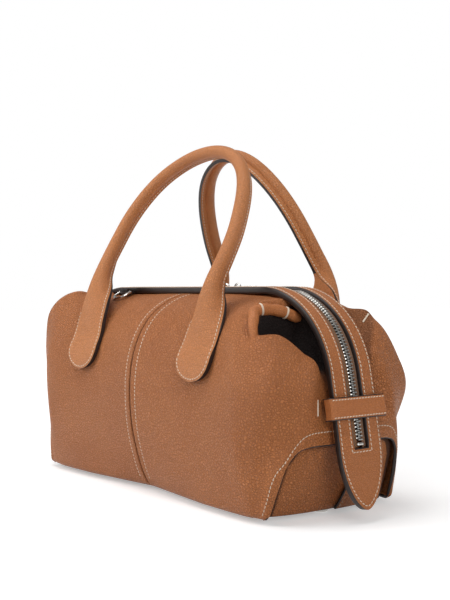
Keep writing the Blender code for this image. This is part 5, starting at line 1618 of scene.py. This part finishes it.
def make_handle(name, side, arch, lean):
    """A handle cut with its two patches from one sheet: flat teardrops on the panel, rolled
    into a tube above, the edges standing as a stitched fin towards the other handle."""
    line, inward = handle_line(side, arch, lean)
    z = line[:, 2]
    roll = roll_at(side, line[:, 0], z)[:, None]
    foot = foot_share_at(z)[:, None]
    share = np.sin(np.linspace(-1, 1, SHEET_COLUMNS) * math.pi / 2)[None]
    section = sheet_section(roll, share, foot, FIN_HEIGHTS[side])
    across, depth = with_back(*section, PATCH_EDGE * (1 - roll))
    points = swept(line, inward, across, depth, side)
    rings, around = points.shape[:2]
    along = np.concatenate([[0], np.cumsum(np.linalg.norm(np.diff(line, axis=0), axis=1))])
    uv = np.stack(np.broadcast_arrays(along[:, None], across), axis=-1)
    faces = [grid_quads(rings, around, close_columns=True)]
    ring, column = np.divmod(np.arange(len(faces[0])), around)
    on_back = (column > SHEET_COLUMNS) & (column < around - 2) & (roll[ring, 0] < FIN_START_ROLL)
    painted = np.concatenate([((column >= SHEET_COLUMNS - 1) & ~on_back).astype(int), [1, 1]])
    cap = np.arange(around)[None]
    faces += [cap, cap[:, ::-1] + (rings - 1) * around]
    faces = [a[:, ::-1] for a in faces]
    piece = build("leather_" + name, points, faces, [handle_leather(), edge_paint()],
                  face_material=painted, sharp=55, uv=uv)
    end = name.split("_")[1]
    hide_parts(name, f"handle_patch_{end}_left", f"handle_patch_{end}_right")
    blend_across_hinge(piece)
    seam = stitching("stitching_" + name, handle_rows(side, line, inward, roll, foot), None)
    blend_across_hinge(seam)


def blend_across_hinge(piece):
    """Bakes the piece's placement into its mesh."""
    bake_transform(piece)


# Studs, and the nodes that are shown as they are

STUD_FLAT, STUD_SHOULDER, STUD_RADIUS = 2.6 * MM, 3.0 * MM, 5.5 * MM
STUD_ROUGHNESS = 0.2


def make_studs():
    """Domed studs: a quarter ellipse turned round its own axis, flat where it stands."""
    turn = np.linspace(0, math.pi / 2, 10)
    radius = STUD_SHOULDER + (STUD_RADIUS - STUD_SHOULDER) * np.sin(turn)
    profile = np.column_stack([radius, -FOOT_HEIGHT * np.cos(turn)])
    profile = np.vstack([[STUD_FLAT, -FOOT_HEIGHT], profile[1:], [STUD_RADIUS, -GAP]])
    points, faces = turned(profile)
    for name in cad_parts:
        if name.startswith("foot_stud"):
            low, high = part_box(name)
            centre = [(low.x + high.x) / 2, (low.y + high.y) / 2, 0]
            make_metal(name, (points + centre, faces), STUD_ROUGHNESS)


def dress_node(name, finish):
    """A node that keeps its solid's shape gets its finish."""
    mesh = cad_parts[name].data
    mesh.materials.clear()
    mesh.materials.append(finish)


# Studio

FLOOR_HALF = 6.0


def floor_white():
    """Grey under the lamps, with a glow that only the camera and glossy surfaces see, whose
    level rises with the distance from the bag."""
    made = bpy.data.materials.new("white_floor")
    made.use_nodes = True
    tree = made.node_tree
    tree.nodes.clear()
    output, both, diffuse, glow, path, place = (
        tree.nodes.new("ShaderNode" + kind)
        for kind in ("OutputMaterial", "AddShader", "BsdfDiffuse", "Emission", "LightPath", "TexCoord"))
    seen = math_node(tree, "MAXIMUM", path.outputs["Is Camera Ray"], path.outputs["Is Glossy Ray"])
    reach = vector_node(tree, "LENGTH", place.outputs["Object"])["Value"]
    level = ramp_node(tree, reach, 0.3, 1.3, 0.38, 0.86)
    feed(tree, diffuse.inputs, Color=(0.80, 0.80, 0.80))
    feed(tree, glow.inputs, Strength=math_node(tree, "MULTIPLY", seen, level))
    plug(tree, both.inputs[0], diffuse.outputs[0])
    plug(tree, both.inputs[1], glow.outputs[0])
    feed(tree, output.inputs, Surface=both.outputs[0])
    return made


def make_floor():
    """A flat square that isn't part of the bag."""
    floor = bpy.data.meshes.new("floor")
    corners = rectangle(-FLOOR_HALF, FLOOR_HALF, FLOOR_HALF)
    floor.from_pydata(np.column_stack([corners, np.zeros(4)]).tolist(), [], [(0, 1, 2, 3)])
    floor.materials.append(floor_white())
    stage = bpy.data.objects.new("floor", floor)
    bpy.context.scene.collection.objects.link(stage)


def make_world():
    """White to the camera and dim on the bag."""
    world = bpy.data.worlds.new("studio")
    bpy.context.scene.world = world
    world.use_nodes = True
    tree = world.node_tree
    path = tree.nodes.new("ShaderNodeLightPath")
    level = math_node(tree, "MULTIPLY_ADD", path.outputs["Is Camera Ray"], 0.70, 0.30)
    feed(tree, tree.nodes["Background"].inputs, Color=(1, 1, 1), Strength=level)


def stand(name, data, spot, direction):
    """Puts a lamp or the camera at a spot, turned so that it looks along a direction."""
    obj = bpy.data.objects.new(name, data)
    obj.location = spot
    obj.rotation_mode = "QUATERNION"
    obj.rotation_quaternion = Vector(direction).to_track_quat("-Z", "Y")
    bpy.context.scene.collection.objects.link(obj)
    return obj


def make_softbox(name, spot, aim, size, power):
    """A rectangular lamp at one spot, aimed at another."""
    lamp = bpy.data.lights.new(name, "AREA")
    lamp.shape = "RECTANGLE"
    lamp.size, lamp.size_y = size
    lamp.energy = power
    stand(name, lamp, spot, Vector(aim) - Vector(spot))


def make_camera():
    """Level camera off the front right corner, at a height just under the strap."""
    lens = bpy.data.cameras.new("camera")
    lens.sensor_width = 36.0
    lens.lens = lens.sensor_width * FOCAL_PIXELS / PICTURE_HEIGHT
    lens.shift_y = (CENTRE_PIXEL[1] - PICTURE_HEIGHT / 2) / PICTURE_HEIGHT
    lens.clip_start = 0.01
    bpy.context.scene.camera = stand("camera", lens, CAMERA_SPOT, CAMERA_AIM)


bpy.context.scene.view_settings.view_transform = "Standard"
make_camera()
make_floor()
make_world()
make_softbox("top_softbox", (-0.15, -0.25, 1.5), (0, 0, 0.1), (1.1, 0.9), 12.5)
make_softbox("front_softbox", (-0.9, -1.2, 0.85), (0, 0, 0.08), (0.8, 0.8), 11.5)
make_softbox("end_softbox", (1.4, -0.3, 0.7), (0.1, 0, 0.08), (0.7, 0.8), 6)
make_panels()
make_seam_stitching()
make_bell_stitching()
make_fold()
make_tacks()
make_leaves()
make_strap()
make_strap_stitching()
make_zip()
make_zip_stops()
for side, name in ((-1, "slider_left"), (1, "slider_right")):
    make_slider(name, side)
make_keepers()
make_handle("handle_front", -1, FRONT_ARCH, FRONT_LEAN)
make_handle("handle_rear", 1, REAR_ARCH, REAR_LEAN)
make_studs()
for end in ("front", "rear"):
    dress_node("d_ring_" + end, polished_metal(HARDWARE_ROUGHNESS))
    dress_node("chape_" + end, edge_paint())
dress_node("base_panel", body_leather())
dress_node("base_board", stiff_board())
dress_node("lining", lining_cloth())

bpy.context.view_layer.update()
